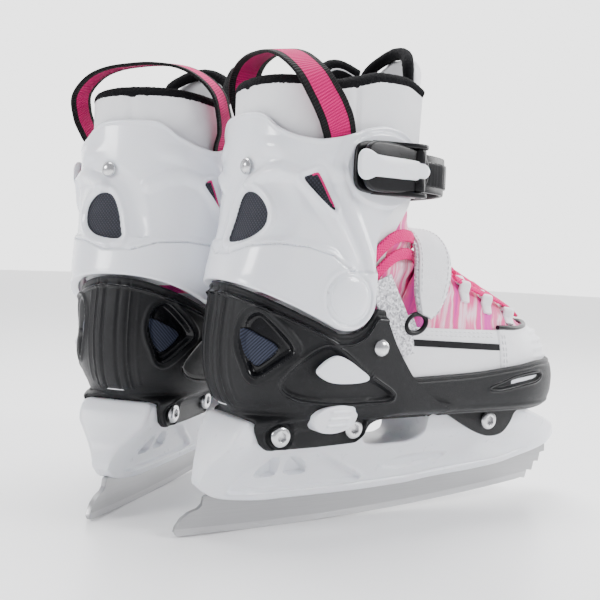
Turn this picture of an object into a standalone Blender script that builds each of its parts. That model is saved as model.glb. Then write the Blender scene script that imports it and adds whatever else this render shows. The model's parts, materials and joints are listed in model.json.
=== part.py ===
"""A pair of adjustable junior ice skates with a hinged cuff, a sliding toe and a ratchet buckle.

Every shape is described once for the right skate, in its own frame: millimetres, +X to the toe,
+Y to the inner side, +Z up, with the ankle pivot above x = 0 and the blade on z = 0. The left skate
is the mirror image. The two then stand in a V, each under its own parent empty.
"""

import math

import bmesh
import bpy
import numpy as np

MM = 0.001

# How the pair stands: each skate is turned out by half of the V.
HALF_V_DEGREES = 20.59
RIGHT_ORIGIN = (-52.35, -49.2)
LEFT_ORIGIN = (-66.15, 49.2)

# Joint axes, in a skate's own frame.
ANKLE = (0.0, 0.0, 123.3)
LEVER_ALONG = 16.0
LEVER_OUT = 8.4
BUTTON_CENTRE = (3.0, 59.8)
TOE_TRAVEL = 20.0
BUTTON_TRAVEL = 3.0

# Gaps and walls.
GAP = 0.35
SHELL_WALL = 2.5
SHELL_COLUMNS = 27

# Blade and holder.
BLADE_HALF = 1.5
ROCKER_RADIUS = 1622.0
ROCKER_CONTACT_X = -11.0
TANG_DEPTH = 8.0
TOWER_HALF = 21.4
TOWER_TOP = 60.2
BOLT_RADIUS = 3.0
BOLT_HEAD_RADIUS = 5.4
EAR_INNER = 21.9
EAR_OUTER = 24.4
REAR_BOLT = (-24.2, 52.9)
MID_BOLT = (19.6, 54.5)
FRONT_BOLT = (114.4, 53.7)

# Shells.
HEEL_CENTRE_X = 20.0
SHELL_HALF = 44.7
FLOOR = (61.0, 64.5)
CUFF_HALF = 44.0
LOBE_RADIUS = 16.0
LUG_RADIUS = 9.5
PIVOT_STEM = 4.5
TOE_CENTRE_X = 118.0
TOE_SHIFT_Y = 2.0

# Soft goods.
VAMP_HALF = 38.2
VAMP_FRONT_X = 136.0
LINER_HALF = 38.3
TONGUE_HALF = 23.5

BUCKLE_ORIGIN = (18.0, -43.9, 188.0)
BUCKLE_TURN_DEGREES = 4.6

FINISHES = {
    "steel": ((0.62, 0.63, 0.66), 0.28, 1.0),
    "white": ((0.86, 0.87, 0.90), 0.22, 0.0),
    "black": ((0.035, 0.036, 0.040), 0.42, 0.0),
    "bolt": ((0.70, 0.70, 0.72), 0.2, 1.0),
    "lining": ((0.05, 0.05, 0.06), 0.9, 0.0),
    "liner": ((0.82, 0.82, 0.85), 0.8, 0.0),
    "pink": ((0.85, 0.03, 0.22), 0.7, 0.0),
    "vamp": ((0.85, 0.25, 0.50), 0.75, 0.0),
    "felt": ((0.85, 0.84, 0.86), 0.9, 0.0),
}


def material(key):
    """Return the finish of that name, made the first time it is asked for."""
    found = bpy.data.materials.get(key)
    if found:
        return found
    colour, roughness, metallic = FINISHES[key]
    made = bpy.data.materials.new(key)
    made.use_nodes = True
    shader = made.node_tree.nodes["Principled BSDF"]
    shader.inputs["Base Color"].default_value = (*colour, 1.0)
    shader.inputs["Roughness"].default_value = roughness
    shader.inputs["Metallic"].default_value = metallic
    made.diffuse_color = (*colour, 1.0)
    return made


def curve(points, value):
    """Read a height, width or length from a short list of (position, value) pairs."""
    places, values = zip(*points)
    return np.interp(value, places, values)


def eased(value):
    """Clamp to 0..1 and ease both ends."""
    held = np.clip(value, 0.0, 1.0)
    return held * held * (3.0 - 2.0 * held)


class Skate:
    """One skate: its name prefix, its mirror sign and the empties that its pieces hang from."""

    def __init__(self, name, mirror, origin, turn_degrees):
        self.name = name
        self.mirror = mirror
        self.root = self.empty("skate", None, (0.0, 0.0, 0.0))
        self.root.location = (origin[0] * MM, origin[1] * MM, 0.0)
        self.root.rotation_euler = (0.0, 0.0, math.radians(turn_degrees))
        self.origins = {"chassis": (0.0, 0.0, 0.0)}
        self.empties = {"chassis": self.root}

    def empty(self, label, parent, place):
        """Add an empty at a place given in the right skate's frame."""
        made = bpy.data.objects.new(f"{self.name}_{label}_frame", None)
        bpy.context.scene.collection.objects.link(made)
        made.parent = parent
        made.location = (place[0] * MM, place[1] * self.mirror * MM, place[2] * MM)
        return made

    def group(self, label, place):
        """Start a moving group whose frame sits on its joint's axis."""
        self.origins[label] = place
        self.empties[label] = self.empty(label, self.root, place)

    def add(self, label, points, faces, finish, group="chassis", smooth=40.0):
        """Make one closed object from points in the right skate's frame and faces in any order."""
        place = np.array(points, dtype=float).reshape(-1, 3) - np.array(self.origins[group])
        place[:, 1] *= self.mirror
        mesh = bpy.data.meshes.new(f"{self.name}_{label}")
        mesh.from_pydata((place * MM).tolist(), [], [tuple(face) for face in faces])
        work = bmesh.new()
        work.from_mesh(mesh)
        bmesh.ops.remove_doubles(work, verts=work.verts, dist=1e-6)
        bmesh.ops.recalc_face_normals(work, faces=work.faces)
        work.to_mesh(mesh)
        work.free()
        if finish:
            mesh.materials.append(material(finish))
        mesh.shade_smooth()
        mesh.set_sharp_from_angle(angle=math.radians(smooth))
        made = bpy.data.objects.new(f"{self.name}_{label}", mesh)
        bpy.context.scene.collection.objects.link(made)
        made.parent = self.empties[group]
        return made

    def shape(self, base, label, points, faces, operation, group="chassis"):
        """Cut a helper solid out of an object, or join it on, with an exact boolean."""
        helper = self.add(f"{label}_helper", points, faces, None, group)
        helper.hide_render = True
        helper.display_type = "WIRE"
        step = base.modifiers.new(label, "BOOLEAN")
        step.operation = operation
        step.solver = "EXACT"
        step.object = helper


def prism(outline, low, high):
    """Extrude an outline of (x, z) points from y = low to y = high."""
    count = len(outline)
    points = [(x, low, z) for x, z in outline] + [(x, high, z) for x, z in outline]
    sides = [(i, (i + 1) % count, (i + 1) % count + count, i + count) for i in range(count)]
    return points, sides + [tuple(range(count)), tuple(range(2 * count - 1, count - 1, -1))]


def plate(outline, low, high):
    """Extrude an outline of (x, y) points from z = low to z = high."""
    points, faces = prism(outline, low, high)
    return [(x, z, y) for x, y, z in points], faces


def turned(profile, centre, axis, sides=16):
    """Turn (radius, along) pairs round an axis through a centre; both ends are capped."""
    angles = np.linspace(0.0, 2.0 * math.pi, sides, endpoint=False)
    rings = []
    for radius, along in profile:
        first = radius * np.cos(angles)
        second = radius * np.sin(angles)
        third = np.full(sides, along)
        columns = {"X": (third, first, second), "Y": (first, third, second), "Z": (first, second, third)}
        rings.append(np.stack(columns[axis], axis=-1) + np.array(centre))
    points = np.concatenate(rings)
    faces = [tuple(range(sides)), tuple(range(len(points) - sides, len(points)))]
    for ring in range(len(profile) - 1):
        for i in range(sides):
            j = (i + 1) % sides
            base = ring * sides
            faces.append((base + i, base + j, base + sides + j, base + sides + i))
    return points, faces


def walled(outer, inner, ring=False):
    """Close two matching grids of points, an outer and an inner surface, into one thin-walled solid.

    A ring's last column meets its first, so it has no side edges to close.
    """
    rows, columns = outer.shape[:2]
    points = np.concatenate([outer.reshape(-1, 3), inner.reshape(-1, 3)])
    half = rows * columns
    faces = []
    for r in range(rows - 1):
        for c in range(columns - 1):
            a = r * columns + c
            quad = (a, a + 1, a + columns + 1, a + columns)
            faces.append(quad)
            faces.append(tuple(half + i for i in reversed(quad)))
    top = [(rows - 1) * columns + c for c in range(columns)]
    last = [r * columns + columns - 1 for r in range(rows)]
    edges = [list(range(columns)), top]
    if not ring:
        edges += [[r * columns for r in range(rows)], last]
    for edge in edges:
        for a, b in zip(edge, edge[1:]):
            faces.append((a, b, b + half, a + half))
    return points, faces


def horseshoe(back, centre, half, front, power, columns):
    """A horizontal section, open to the front: outer side, round the heel, inner side.

    The first and last fifth of the columns are the straight sides from front to centre; between them
    the heel follows a superellipse, |x / a| ** power + |y / half| ** power = 1.
    """
    straight = columns // 5
    ahead = np.linspace(front, centre, straight, endpoint=False)
    bends = np.linspace(0.5 * math.pi, 1.5 * math.pi, columns - 2 * straight)
    bent_x = centre - (centre - back) * np.abs(np.cos(bends)) ** (2.0 / power)
    bent_y = -half * np.sign(np.sin(bends)) * np.abs(np.sin(bends)) ** (2.0 / power)
    x = np.concatenate([ahead, bent_x, ahead[::-1]])
    y = np.concatenate([np.full(straight, -half), bent_y, np.full(straight, half)])
    return x, y


def side_taper(x):
    """How far the leg's sides close in towards the shin."""
    return 0.002 * np.maximum(x, 0.0) ** 2


# ---------------------------------------------------------------- blade and holder


HOLDER_BOTTOM = [(-57, 24.5), (-46, 19), (-37, 17), (-19, 15), (27, 15), (68, 16), (90, 18), (122, 20),
                 (142, 22), (156, 25), (183, 31)]


def holder_bottom(x):
    """Height of the holder's lower edge."""
    return curve(HOLDER_BOTTOM, x)


def rocker(x):
    """Height of the blade's running edge: a large circle that touches the ice under the heel."""
    return (x - ROCKER_CONTACT_X) ** 2 / (2.0 * ROCKER_RADIUS)


def tang(grow):
    """The blade's upper edge inside the holder, from front to back."""
    stations = np.linspace(176.5 + grow, -46.0 - grow, 10)
    return [(x, float(holder_bottom(x)) + TANG_DEPTH + grow) for x in stations]


def blade(skate):
    """Runner, heel and toe pick in one steel plate."""
    run = [(x, float(rocker(x))) for x in np.linspace(ROCKER_CONTACT_X - 56.5, ROCKER_CONTACT_X + 177.0, 20)]
    teeth = [(170.5, 9.2), (172.5, 15.0), (177.0, 14.2), (178.5, 20.0), (182.6, 19.8), (183.5, 25.0),
             (187.2, 25.6), (186.6, 30.0), (176.5, 28.9)]
    heel = [(-46.0, 18.4), (-53.0, 19.6), (-53.4, 15.2), (-63.0, 10.8), (-69.2, 3.2)]
    points, faces = prism(run + teeth + tang(0.0) + heel, -BLADE_HALF, BLADE_HALF)
    skate.add("blade", points, faces, "steel")


HOLDER_HALF_WIDTH = [(15, 5.2), (22, 6.4), (30, 9.0), (38, 13.5), (45, 18.5), (51, TOWER_HALF),
                     (62, TOWER_HALF)]


def holder_half_width(z):
    """Half of the holder's width: slim at the blade and as wide as the shell's ears at the top."""
    return curve(HOLDER_HALF_WIDTH, z)


def bolt_hole(skate, base, label, place, length=0.0):
    """Cut a round hole, or a slot of a given length, across a piece for a bolt's shank."""
    radius = BOLT_RADIUS + GAP
    around = np.linspace(-0.5 * math.pi, 0.5 * math.pi, 7)
    ahead = [(place[0] + length + radius * math.cos(a), place[1] + radius * math.sin(a)) for a in around]
    behind = [(place[0] - radius * math.cos(a), place[1] - radius * math.sin(a)) for a in around]
    points, faces = prism(ahead + behind, -40.0, 40.0)
    skate.shape(base, label, points, faces, "DIFFERENCE")


def blade_holder(skate):
    """The two towers, the arch between them and the beam that grips the blade."""
    bottom = [(float(x), float(holder_bottom(x))) for x in np.linspace(-55.0, 183.0, 13)]
    front = [(189, 35), (191, 39), (188, 43), (175, 49), (160, 54), (150, 57.5), (140, TOWER_TOP)]
    gap = [(74, TOWER_TOP), (71.5, 50), (69, 46), (63, 44), (47, 43), (34, 44.5), (29, 50), (27, TOWER_TOP)]
    rear = [(-42, TOWER_TOP), (-46, 55), (-50, 47), (-55, 38), (-58, 29)]
    count = len(bottom + front + gap + rear)
    outline = bottom + front + gap + rear
    points, faces = prism(outline, -1.0, 1.0)
    work = bmesh.new()
    made = [work.verts.new(point) for point in points]
    for face in faces[:count]:
        work.faces.new([made[i] for i in face])
    for face in faces[count:]:
        work.faces.new([made[i] for i in face])
    for level in (22.0, 30.0, 38.0, 45.0, 51.0):
        everything = work.verts[:] + work.edges[:] + work.faces[:]
        bmesh.ops.bisect_plane(work, geom=everything, plane_co=(0, 0, level), plane_no=(0, 0, 1), dist=1e-4)
    bmesh.ops.triangulate(work, faces=work.faces)
    work.verts.index_update()
    points = np.array([vert.co[:] for vert in work.verts])
    faces = [tuple(vert.index for vert in face.verts) for face in work.faces]
    work.free()
    points[:, 1] *= holder_half_width(points[:, 2])
    holder = skate.add("blade_holder", points, faces, "white")
    slot = [(x, z) for x, z in tang(GAP)]
    slot = slot + [(-46.0 - GAP, -5.0), (176.5 + GAP, -5.0)]
    points, faces = prism(slot, -BLADE_HALF - GAP, BLADE_HALF + GAP)
    skate.shape(holder, "blade_slot", points, faces, "DIFFERENCE")
    bolt_hole(skate, holder, "rear_bolt_hole", REAR_BOLT)
    bolt_hole(skate, holder, "mid_bolt_hole", MID_BOLT)
    bolt_hole(skate, holder, "front_bolt_slot", FRONT_BOLT, TOE_TRAVEL + GAP)
    for number, (low, high) in enumerate([(-29.0, -17.0), (-10.0, 2.0)]):
        window = [(low + 2.5, 31.0), (high, 31.0), (high, 37.5), (low + 5.0, 37.5)]
        points, faces = prism(window, -30.0, 30.0)
        skate.shape(holder, f"holder_window_{number}", points, faces, "DIFFERENCE")
    x, z = BUTTON_CENTRE
    pocket = [(x - 12.5, z - 7.8), (x + 12.5, z - 7.8), (x + 12.5, z + 8), (x - 12.5, z + 8)]
    points, faces = prism(pocket, -30.0, -15.0)
    skate.shape(holder, "button_pocket", points, faces, "DIFFERENCE")


def bolt(skate, label, place, group="chassis"):
    """A cross bolt with its barrel nut: a shank and a low head at each end."""
    face = EAR_OUTER + 0.3
    head = [(BOLT_HEAD_RADIUS - 1.6, face + 2.9), (BOLT_HEAD_RADIUS - 0.5, face + 2.2),
            (BOLT_HEAD_RADIUS, face + 1.2), (BOLT_HEAD_RADIUS, face), (BOLT_RADIUS, face)]
    profile = [(r, -y) for r, y in head] + [(r, y) for r, y in reversed(head)]
    points, faces = turned(profile, (place[0], 0.0, place[1]), "Y", 12)
    skate.add(label, points, faces, "bolt", group)


# ---------------------------------------------------------------- heel shell and cuff


HEEL_BACK = [(61, -40.0), (66, -44.5), (72, -48.5), (78, -51.0), (85, -52.6), (97, -53.5), (111, -52.5),
             (119, -51.5), (130, -50.5)]
HEEL_TUCK = [(61, 12.0), (66, 7.0), (72, 3.6), (78, 1.4), (85, 0.3), (97, 0.0)]
HEEL_FRONT = [(61, 70.0), (66, 74.0), (70, 60.0), (83, 43.0), (88, 39.0), (100, 31.0), (112, 25.0),
              (120, 20.5)]


def cuff_lower_edge(x):
    """The cuff's lower edge: a round lobe about the pivot, then a line that rises to the heel."""
    lobe = ANKLE[2] - np.sqrt(np.maximum(LOBE_RADIUS ** 2 - np.clip(x, -LOBE_RADIUS, LOBE_RADIUS) ** 2, 0.0))
    line = 107.0 + (-3.0 - x) * 0.478
    return np.where(x < -5.0, np.maximum(line, 107.6), lobe)


def shell_top(x):
    """The heel shell's upper edge, which follows the cuff's lower edge at a small distance."""
    radius = LOBE_RADIUS + 1.9
    notch = ANKLE[2] - np.sqrt(np.maximum(radius ** 2 - np.clip(x, -radius, radius) ** 2, 0.0))
    line = 105.7 + (-3.0 - x) * 0.478
    return np.where(x < -5.0, np.maximum(line, 105.9), np.minimum(notch, 120.0 - 0.1 * x))


def heel_section(z, inset, columns=SHELL_COLUMNS):
    """The heel shell's section at one height, moved inwards by an inset."""
    front = curve(HEEL_FRONT, z)
    back = curve(HEEL_BACK, z) + inset
    x, y = horseshoe(back, HEEL_CENTRE_X, 1.0, max(front, HEEL_CENTRE_X + 0.5), 2.1, columns)
    tuck = curve(HEEL_TUCK, z) * (1.0 - eased(x / 40.0))
    return x, y * (SHELL_HALF - inset - tuck)


def heel_wall(inset):
    """A grid of the heel shell's wall: each column runs from the sole up to the upper edge."""
    shares = np.array([0.0, 0.12, 0.28, 0.6, 1.0])
    columns = SHELL_COLUMNS
    grid = np.zeros((len(shares), columns, 3))
    for c in range(columns):
        guess = 110.0
        for _ in range(12):
            guess = float(shell_top(heel_section(guess, 0.0)[0][c]))
        for r, share in enumerate(shares):
            z = FLOOR[0] + (guess - FLOOR[0]) * share
            x, y = heel_section(z, inset)
            grid[r, c] = (x[c], y[c], z)
    return grid


def heel_shell(skate):
    """The lower shell: wall, sole, the ears over the holder and the lugs behind the cuff."""
    points, faces = walled(heel_wall(0.0), heel_wall(SHELL_WALL))
    shell = skate.add("heel_shell", points, faces, "black")
    x, y = heel_section(63.0, 1.2, 30)
    keep = x < 60.0
    points, faces = plate(list(zip(x[keep], y[keep])), *FLOOR)
    skate.shape(shell, "sole", points, faces, "UNION")
    ear = [(-40, 63.5), (-37, 53), (-33, 47), (-28, 45.6), (5, 45.6), (22, 47), (28, 52), (32, 56), (37, 60),
           (42, 63.5)]
    lug_angles = np.linspace(0.0, math.pi, 9)
    lug = [(LUG_RADIUS * math.cos(a), ANKLE[2] + LUG_RADIUS * math.sin(a)) for a in lug_angles]
    lug += [(-LUG_RADIUS, 98.0), (LUG_RADIUS, 98.0)]
    step = [(-7.0, 98.6), (0.0, 98.6), (0.0, 104.6), (-7.0, 104.6)]
    for number, sign in enumerate((-1.0, 1.0)):
        points, faces = prism(ear, sign * EAR_INNER, sign * EAR_OUTER)
        skate.shape(shell, f"ear_{number}", points, faces, "UNION")
        points, faces = prism(lug, sign * 38.6, sign * 40.4)
        skate.shape(shell, f"lug_{number}", points, faces, "UNION")
        points, faces = prism(step, sign * 39.3, sign * 41.3)
        skate.shape(shell, f"lug_step_{number}", points, faces, "UNION")
        window = [(-46.5, 112), (-42, 112.5), (-26, 98), (-43, 84), (-46.5, 88)]
        points, faces = prism(window, sign * 10.0, sign * 60.0)
        skate.shape(shell, f"heel_window_{number}", points, faces, "DIFFERENCE")
        hole = [(PIVOT_STEM + GAP, sign * 30.0), (PIVOT_STEM + GAP, sign * 50.0)]
        points, faces = turned(hole, (0.0, 0.0, ANKLE[2]), "Y")
        skate.shape(shell, f"lug_hole_{number}", points, faces, "DIFFERENCE")
        hole = [(2.0 + GAP, sign * 30.0), (2.0 + GAP, sign * 50.0)]
        points, faces = turned(hole, (SIDE_RIVET[0], 0.0, SIDE_RIVET[1]), "Y", 12)
        skate.shape(shell, f"rivet_hole_{number}", points, faces, "DIFFERENCE")
    bolt_hole(skate, shell, "shell_rear_bolt_hole", REAR_BOLT)
    bolt_hole(skate, shell, "shell_mid_bolt_hole", MID_BOLT)
    x, z = BUTTON_CENTRE
    window = [(x - 11.4, z - 6.5), (x + 11.4, z - 6.5), (x + 11.4, z + 6.5), (x - 11.4, z + 6.5)]
    points, faces = prism(window, -38.0, -18.0)
    skate.shape(shell, "button_window", points, faces, "DIFFERENCE")


CUFF_BACK = [(107, -51.0), (130, -50.2), (142, -47.5), (153, -44.8), (163, -43.0), (181, -42.0), (200, -41.5),
             (216, -40.8)]
CUFF_FRONT = [(107, 16.0), (148, 16.0), (157, 18.0), (165, 23.0), (172, 30.0), (177, 39.0), (200, 41.0),
              (216, 33.0)]
BACK_WINDOW_CENTRE = (-11.5, 163.0)
BACK_WINDOW_RADII = (15.5, 12.5)
BACK_RIVET = (-10.5, 186.5)
STRAP_RIVET = (12.0, 188.0)
SIDE_RIVET = (21.0, 98.7)
RIVET_HOLE_RADIUS = 2.35
CUFF_TOP = [(-45, 215), (-40, 213), (-35, 204), (-27, 200.5), (-19, 199.5), (-10, 201), (0, 204), (9, 207.5),
            (19, 209.5), (29, 208.5), (41, 203)]


def cuff_section(z, inset, columns=SHELL_COLUMNS):
    """The cuff's section at one height, moved inwards by an inset."""
    back = curve(CUFF_BACK, z) + inset
    centre = curve([(107, 2.0), (165, 0.0)], z)
    power = curve([(107, 2.3), (165, 2.5)], z)
    front = max(float(curve(CUFF_FRONT, z)), centre + 0.5)
    x, y = horseshoe(back, centre, CUFF_HALF - inset, front, power, columns)
    return x, y - np.sign(y) * side_taper(x)


def cuff_wall(inset):
    """A grid of the cuff's wall between its lower and its upper edge."""
    columns = SHELL_COLUMNS
    shares = np.linspace(0.0, 1.0, 6)
    grid = np.zeros((len(shares), columns, 3))
    for c in range(columns):
        low, high = 112.0, 206.0
        for _ in range(12):
            low = float(cuff_lower_edge(cuff_section(low, 0.0)[0][c]))
            high = float(curve(CUFF_TOP, cuff_section(high, 0.0)[0][c]))
        for r, share in enumerate(shares):
            z = low + (high - low) * share
            x, y = cuff_section(z, inset)
            grid[r, c] = (x[c], y[c], z)
    return grid


def cuff(skate):
    """The hinged white cuff with its back window and its two side windows."""
    points, faces = walled(cuff_wall(0.0), cuff_wall(SHELL_WALL))
    made = skate.add("cuff", points, faces, "white", "cuff")
    wide, tall = BACK_WINDOW_RADII
    around = np.linspace(0.0, 2.0 * math.pi, 18, endpoint=False)
    middle, level = BACK_WINDOW_CENTRE
    oval = [(middle + wide * math.cos(a), level + tall * math.sin(a)) for a in around]
    points, faces = prism(oval, -60.0, -22.0)
    skate.shape(made, "back_window", [(y, x, z) for x, y, z in points], faces, "DIFFERENCE", "cuff")
    for number, sign in enumerate((-1.0, 1.0)):
        window = [(-25, 181), (-20, 182.5), (-16, 181), (-9, 169), (-10, 166.5), (-13, 167)]
        points, faces = prism(window, sign * 25.0, sign * 60.0)
        skate.shape(made, f"side_window_{number}", points, faces, "DIFFERENCE", "cuff")
        hole = [(PIVOT_STEM + GAP, sign * 30.0), (PIVOT_STEM + GAP, sign * 60.0)]
        points, faces = turned(hole, (0.0, 0.0, ANKLE[2]), "Y")
        skate.shape(made, f"pivot_hole_{number}", points, faces, "DIFFERENCE", "cuff")
    points, faces = turned([(RIVET_HOLE_RADIUS, -60.0), (RIVET_HOLE_RADIUS, -30.0)],
                           (0.0, *BACK_RIVET), "X", 12)
    skate.shape(made, "back_rivet_hole", points, faces, "DIFFERENCE", "cuff")
    centre = (STRAP_RIVET[0], 0.0, STRAP_RIVET[1])
    points, faces = turned([(RIVET_HOLE_RADIUS, 30.0), (RIVET_HOLE_RADIUS, 60.0)], centre, "Y", 12)
    skate.shape(made, "strap_rivet_hole", points, faces, "DIFFERENCE", "cuff")


def pivot_cap(skate, label, sign, crown):
    """A domed pivot disc outside the cuff, with the stem that runs through cuff and lug."""
    seat = CUFF_HALF + GAP
    profile = [(7.0, 44.7 + crown), (10.0, 44.3 + crown), (11.2, 43.4 + crown), (11.2, seat),
               (PIVOT_STEM, seat), (PIVOT_STEM, 38.7)]
    points, faces = turned([(r, sign * y) for r, y in profile], (0.0, 0.0, ANKLE[2]), "Y", 20)
    skate.add(label, points, faces, "white", "cuff")


def side_rivet(skate, label, sign):
    """A domed rivet through the heel shell's side, below and ahead of the pivot."""
    profile = [(2.2, 47.4), (3.6, 46.8), (4.6, 45.4), (4.6, 45.05), (2.0, 45.05), (2.0, 41.9)]
    centre = (SIDE_RIVET[0], 0.0, SIDE_RIVET[1])
    points, faces = turned([(r, sign * y) for r, y in profile], centre, "Y", 12)
    skate.add(label, points, faces, "bolt")


def back_rivet(skate):
    """The rivet above the back window."""
    profile = [(2.0, -44.6), (3.3, -43.9), (4.0, -42.7), (4.0, -42.3), (2.0, -42.3), (2.0, -39.0)]
    points, faces = turned(profile, (0.0, *BACK_RIVET), "X", 12)
    skate.add("back_rivet", points, faces, "bolt", "cuff")


def side_badge(skate):
    """A plain teardrop badge set on the outer side of the heel shell."""
    outline = [(-16, 86), (-11, 93.5), (-5, 95.5), (4, 92), (14, 84), (13, 81.5), (3, 80.5), (-9, 82)]
    points, faces = prism(outline, -46.6, -45.05)
    skate.add("side_badge", points, faces, "white")


def size_button(skate):
    """The ribbed size button, which is pressed inwards to free the toe."""
    x, z = BUTTON_CENTRE
    outline = [(x - 11, z - 3.4), (x - 8, z - 6.1), (x + 8, z - 6.1), (x + 11, z - 3.4), (x + 11, z + 3.4),
               (x + 8, z + 6.1), (x - 8, z + 6.1), (x - 11, z + 3.4)]
    points, faces = prism(outline, -33.5, -21.0)
    skate.add("size_button", points, faces, "white", "button")


# ---------------------------------------------------------------- toe


def toe_outline(tip, half, start, inset, columns=21):
    """A horizontal section of the toe, from the outer side round the tip to the inner side."""
    straight = 6
    ahead = np.linspace(start, TOE_CENTRE_X, straight, endpoint=False)
    bends = np.linspace(-0.5 * math.pi, 0.5 * math.pi, columns - 2 * straight)
    bent_x = TOE_CENTRE_X + (tip - inset - TOE_CENTRE_X) * np.cos(bends) ** 0.93
    bent_y = half * np.sign(np.sin(bends)) * np.abs(np.sin(bends)) ** 0.93
    x = np.concatenate([ahead, bent_x, ahead[::-1]])
    y = np.concatenate([np.full(straight, -half), bent_y, np.full(straight, half)])
    widen = eased((x - 78.0) / 34.0)
    return x, y * (1.0 + widen * 0.055) - np.sign(y) * inset + TOE_SHIFT_Y * widen


def toe_wall(inset):
    """The toe shell's wall: a shallow pan whose middle bulges."""
    levels = [(60.8, 164.0, 38.5, 70.0), (64.0, 169.5, 41.2, 62.0), (70.0, 173.5, 41.2, 50.0),
              (78.0, 174.5, 41.3, 46.0), (84.0, 172.0, 41.3, 46.0), (87.5, 169.5, 41.0, 46.0)]
    rows = []
    for z, tip, half, start in levels:
        x, y = toe_outline(tip, half, start, inset)
        rise = 2.5 * eased((x - 60.0) / 90.0) * (z - 60.8) / 26.7
        rows.append(np.stack([x, y, z + rise], axis=-1))
    return np.array(rows)


def toe_shell(skate):
    """The sliding toe pan with its sole and the two ears that straddle the holder."""
    points, faces = walled(toe_wall(0.0), toe_wall(SHELL_WALL))
    shell = skate.add("toe_shell", points, faces, "black", "toe")
    x, y = toe_outline(164.5, 38.5, 70.0, 1.2)
    points, faces = plate(list(zip(x, y)), 60.7, 63.4)
    skate.shape(shell, "toe_sole", points, faces, "UNION", "toe")
    ear = [(78, 62.4), (96, 52), (106, 47), (116, 44), (126, 45), (132, 50), (135, 56), (138, 62.4)]
    for number, sign in enumerate((-1.0, 1.0)):
        points, faces = prism(ear, sign * EAR_INNER, sign * EAR_OUTER)
        skate.shape(shell, f"toe_ear_{number}", points, faces, "UNION", "toe")
    radius = BOLT_RADIUS + GAP
    points, faces = turned([(radius, -40), (radius, 40)], (FRONT_BOLT[0], 0.0, FRONT_BOLT[1]), "Y", 14)
    skate.shape(shell, "toe_bolt_hole", points, faces, "DIFFERENCE", "toe")


VAMP_CREST = [(18, 160), (50, 157), (66, 152), (86, 143.5), (99, 136.5), (115, 129.5), (127, 123),
              (136.5, 116)]


def vamp_arch(x, angles, offset):
    """Points of the upper's arch at one station: from the outer lower edge over the instep."""
    crest = float(curve(VAMP_CREST, x)) + offset
    half = VAMP_HALF + offset - 2.2 * float(eased((x - 110.0) / 30.0))
    side = -half * np.sign(np.cos(angles)) * np.abs(np.cos(angles)) ** 0.80
    base = float(curve([(42, 74.0), (52, 65.6)], x))
    rise = base + (crest - base) * np.sin(angles) ** 0.80
    return np.stack([np.full(len(angles), x), side, rise], axis=-1)


def vamp(skate):
    """The fabric upper: a tunnel over the forefoot, open behind for the ankle."""
    stations = np.linspace(18.0, VAMP_FRONT_X, 10)
    angles = np.linspace(0.0, math.pi, 17)
    outer = np.array([vamp_arch(x, angles, 0.0) for x in stations])
    inner = np.array([vamp_arch(x, angles, -2.2) for x in stations])
    points, faces = walled(outer, inner)
    made = skate.add("vamp", points, faces, "vamp", "toe")
    throat = [(5, 103), (19, 104), (35, 116), (50, 134), (64, 145), (80, 147), (84, 200), (5, 200)]
    points, faces = prism(throat, -60.0, 60.0)
    skate.shape(made, "throat", points, faces, "DIFFERENCE", "toe")


def toe_cap_wall(inset):
    """The toe cap: horizontal sections that shrink to the crest."""
    levels = [(65.6, 166.0, 37.5), (84.0, 166.3, 37.3), (93.0, 165.0, 36.3), (100.0, 162.0, 33.0),
              (106.0, 156.5, 27.5), (110.5, 150.5, 20.5), (114.0, 145.0, 12.0)]
    rows = []
    for z, tip, half in levels:
        start = (VAMP_FRONT_X + GAP - TOE_CENTRE_X) / (tip - inset - TOE_CENTRE_X)
        widest = math.acos(start ** (1.0 / 0.93))
        bends = np.linspace(-widest, widest, 15)
        x = TOE_CENTRE_X + (tip - inset - TOE_CENTRE_X) * np.cos(bends) ** 0.93
        y = (half - inset) * np.sign(np.sin(bends)) * np.abs(np.sin(bends)) ** 0.93 + 0.8
        rows.append(np.stack([x, y, np.full(len(bends), z - (inset if z > 100 else 0.0))], axis=-1))
    return np.array(rows)


def toe_cap(skate):
    """The ribbed cap that closes the upper over the toes."""
    points, faces = walled(toe_cap_wall(0.0), toe_cap_wall(2.0))
    skate.add("toe_cap", points, faces, "white", "toe")


def band(path, widths, thickness, steps_out):
    """A flat band: a path of points, a width vector and an outward vector for each of them."""
    path = np.array(path, dtype=float)
    widths = np.array(widths, dtype=float)
    outward = np.array(steps_out, dtype=float)
    outward /= np.linalg.norm(outward, axis=1)[:, None]
    low = np.stack([path - widths, path + widths], axis=1)
    return walled(low, low + outward[:, None, :] * thickness)


def laces(skate):
    """The crossed laces as one thin saddle over the instep."""
    angles = np.linspace(0.42 * math.pi, 0.58 * math.pi, 5)
    stations = np.linspace(90.0, 132.0, 6)
    outer = np.array([vamp_arch(x, angles, 3.4) for x in stations])
    inner = np.array([vamp_arch(x, angles, 0.5) for x in stations])
    points, faces = walled(outer, inner)
    skate.add("laces", points, faces, "pink", "toe")


def instep_strap(skate):
    """The soft strap over the instep, from ring to ring."""
    angles = np.linspace(0.16 * math.pi, 0.84 * math.pi, 13)
    grids = []
    for offset in (2.8, 0.6):
        rows = []
        for ahead in (-11.0, 0.0, 11.0):
            lean = 0.34 * (vamp_arch(66.0, angles, offset)[:, 2] - 150.0)
            row = [vamp_arch(66.0 + ahead + l, np.array([a]), offset)[0] for l, a in zip(lean, angles)]
            rows.append(row)
        grids.append(np.array(rows))
    points, faces = walled(grids[0], grids[1])
    skate.add("instep_strap", points, faces, "felt", "toe")


RING_CENTRE = (44.0, -40.2, 108.5)
RING_RADIUS = 6.4


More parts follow.
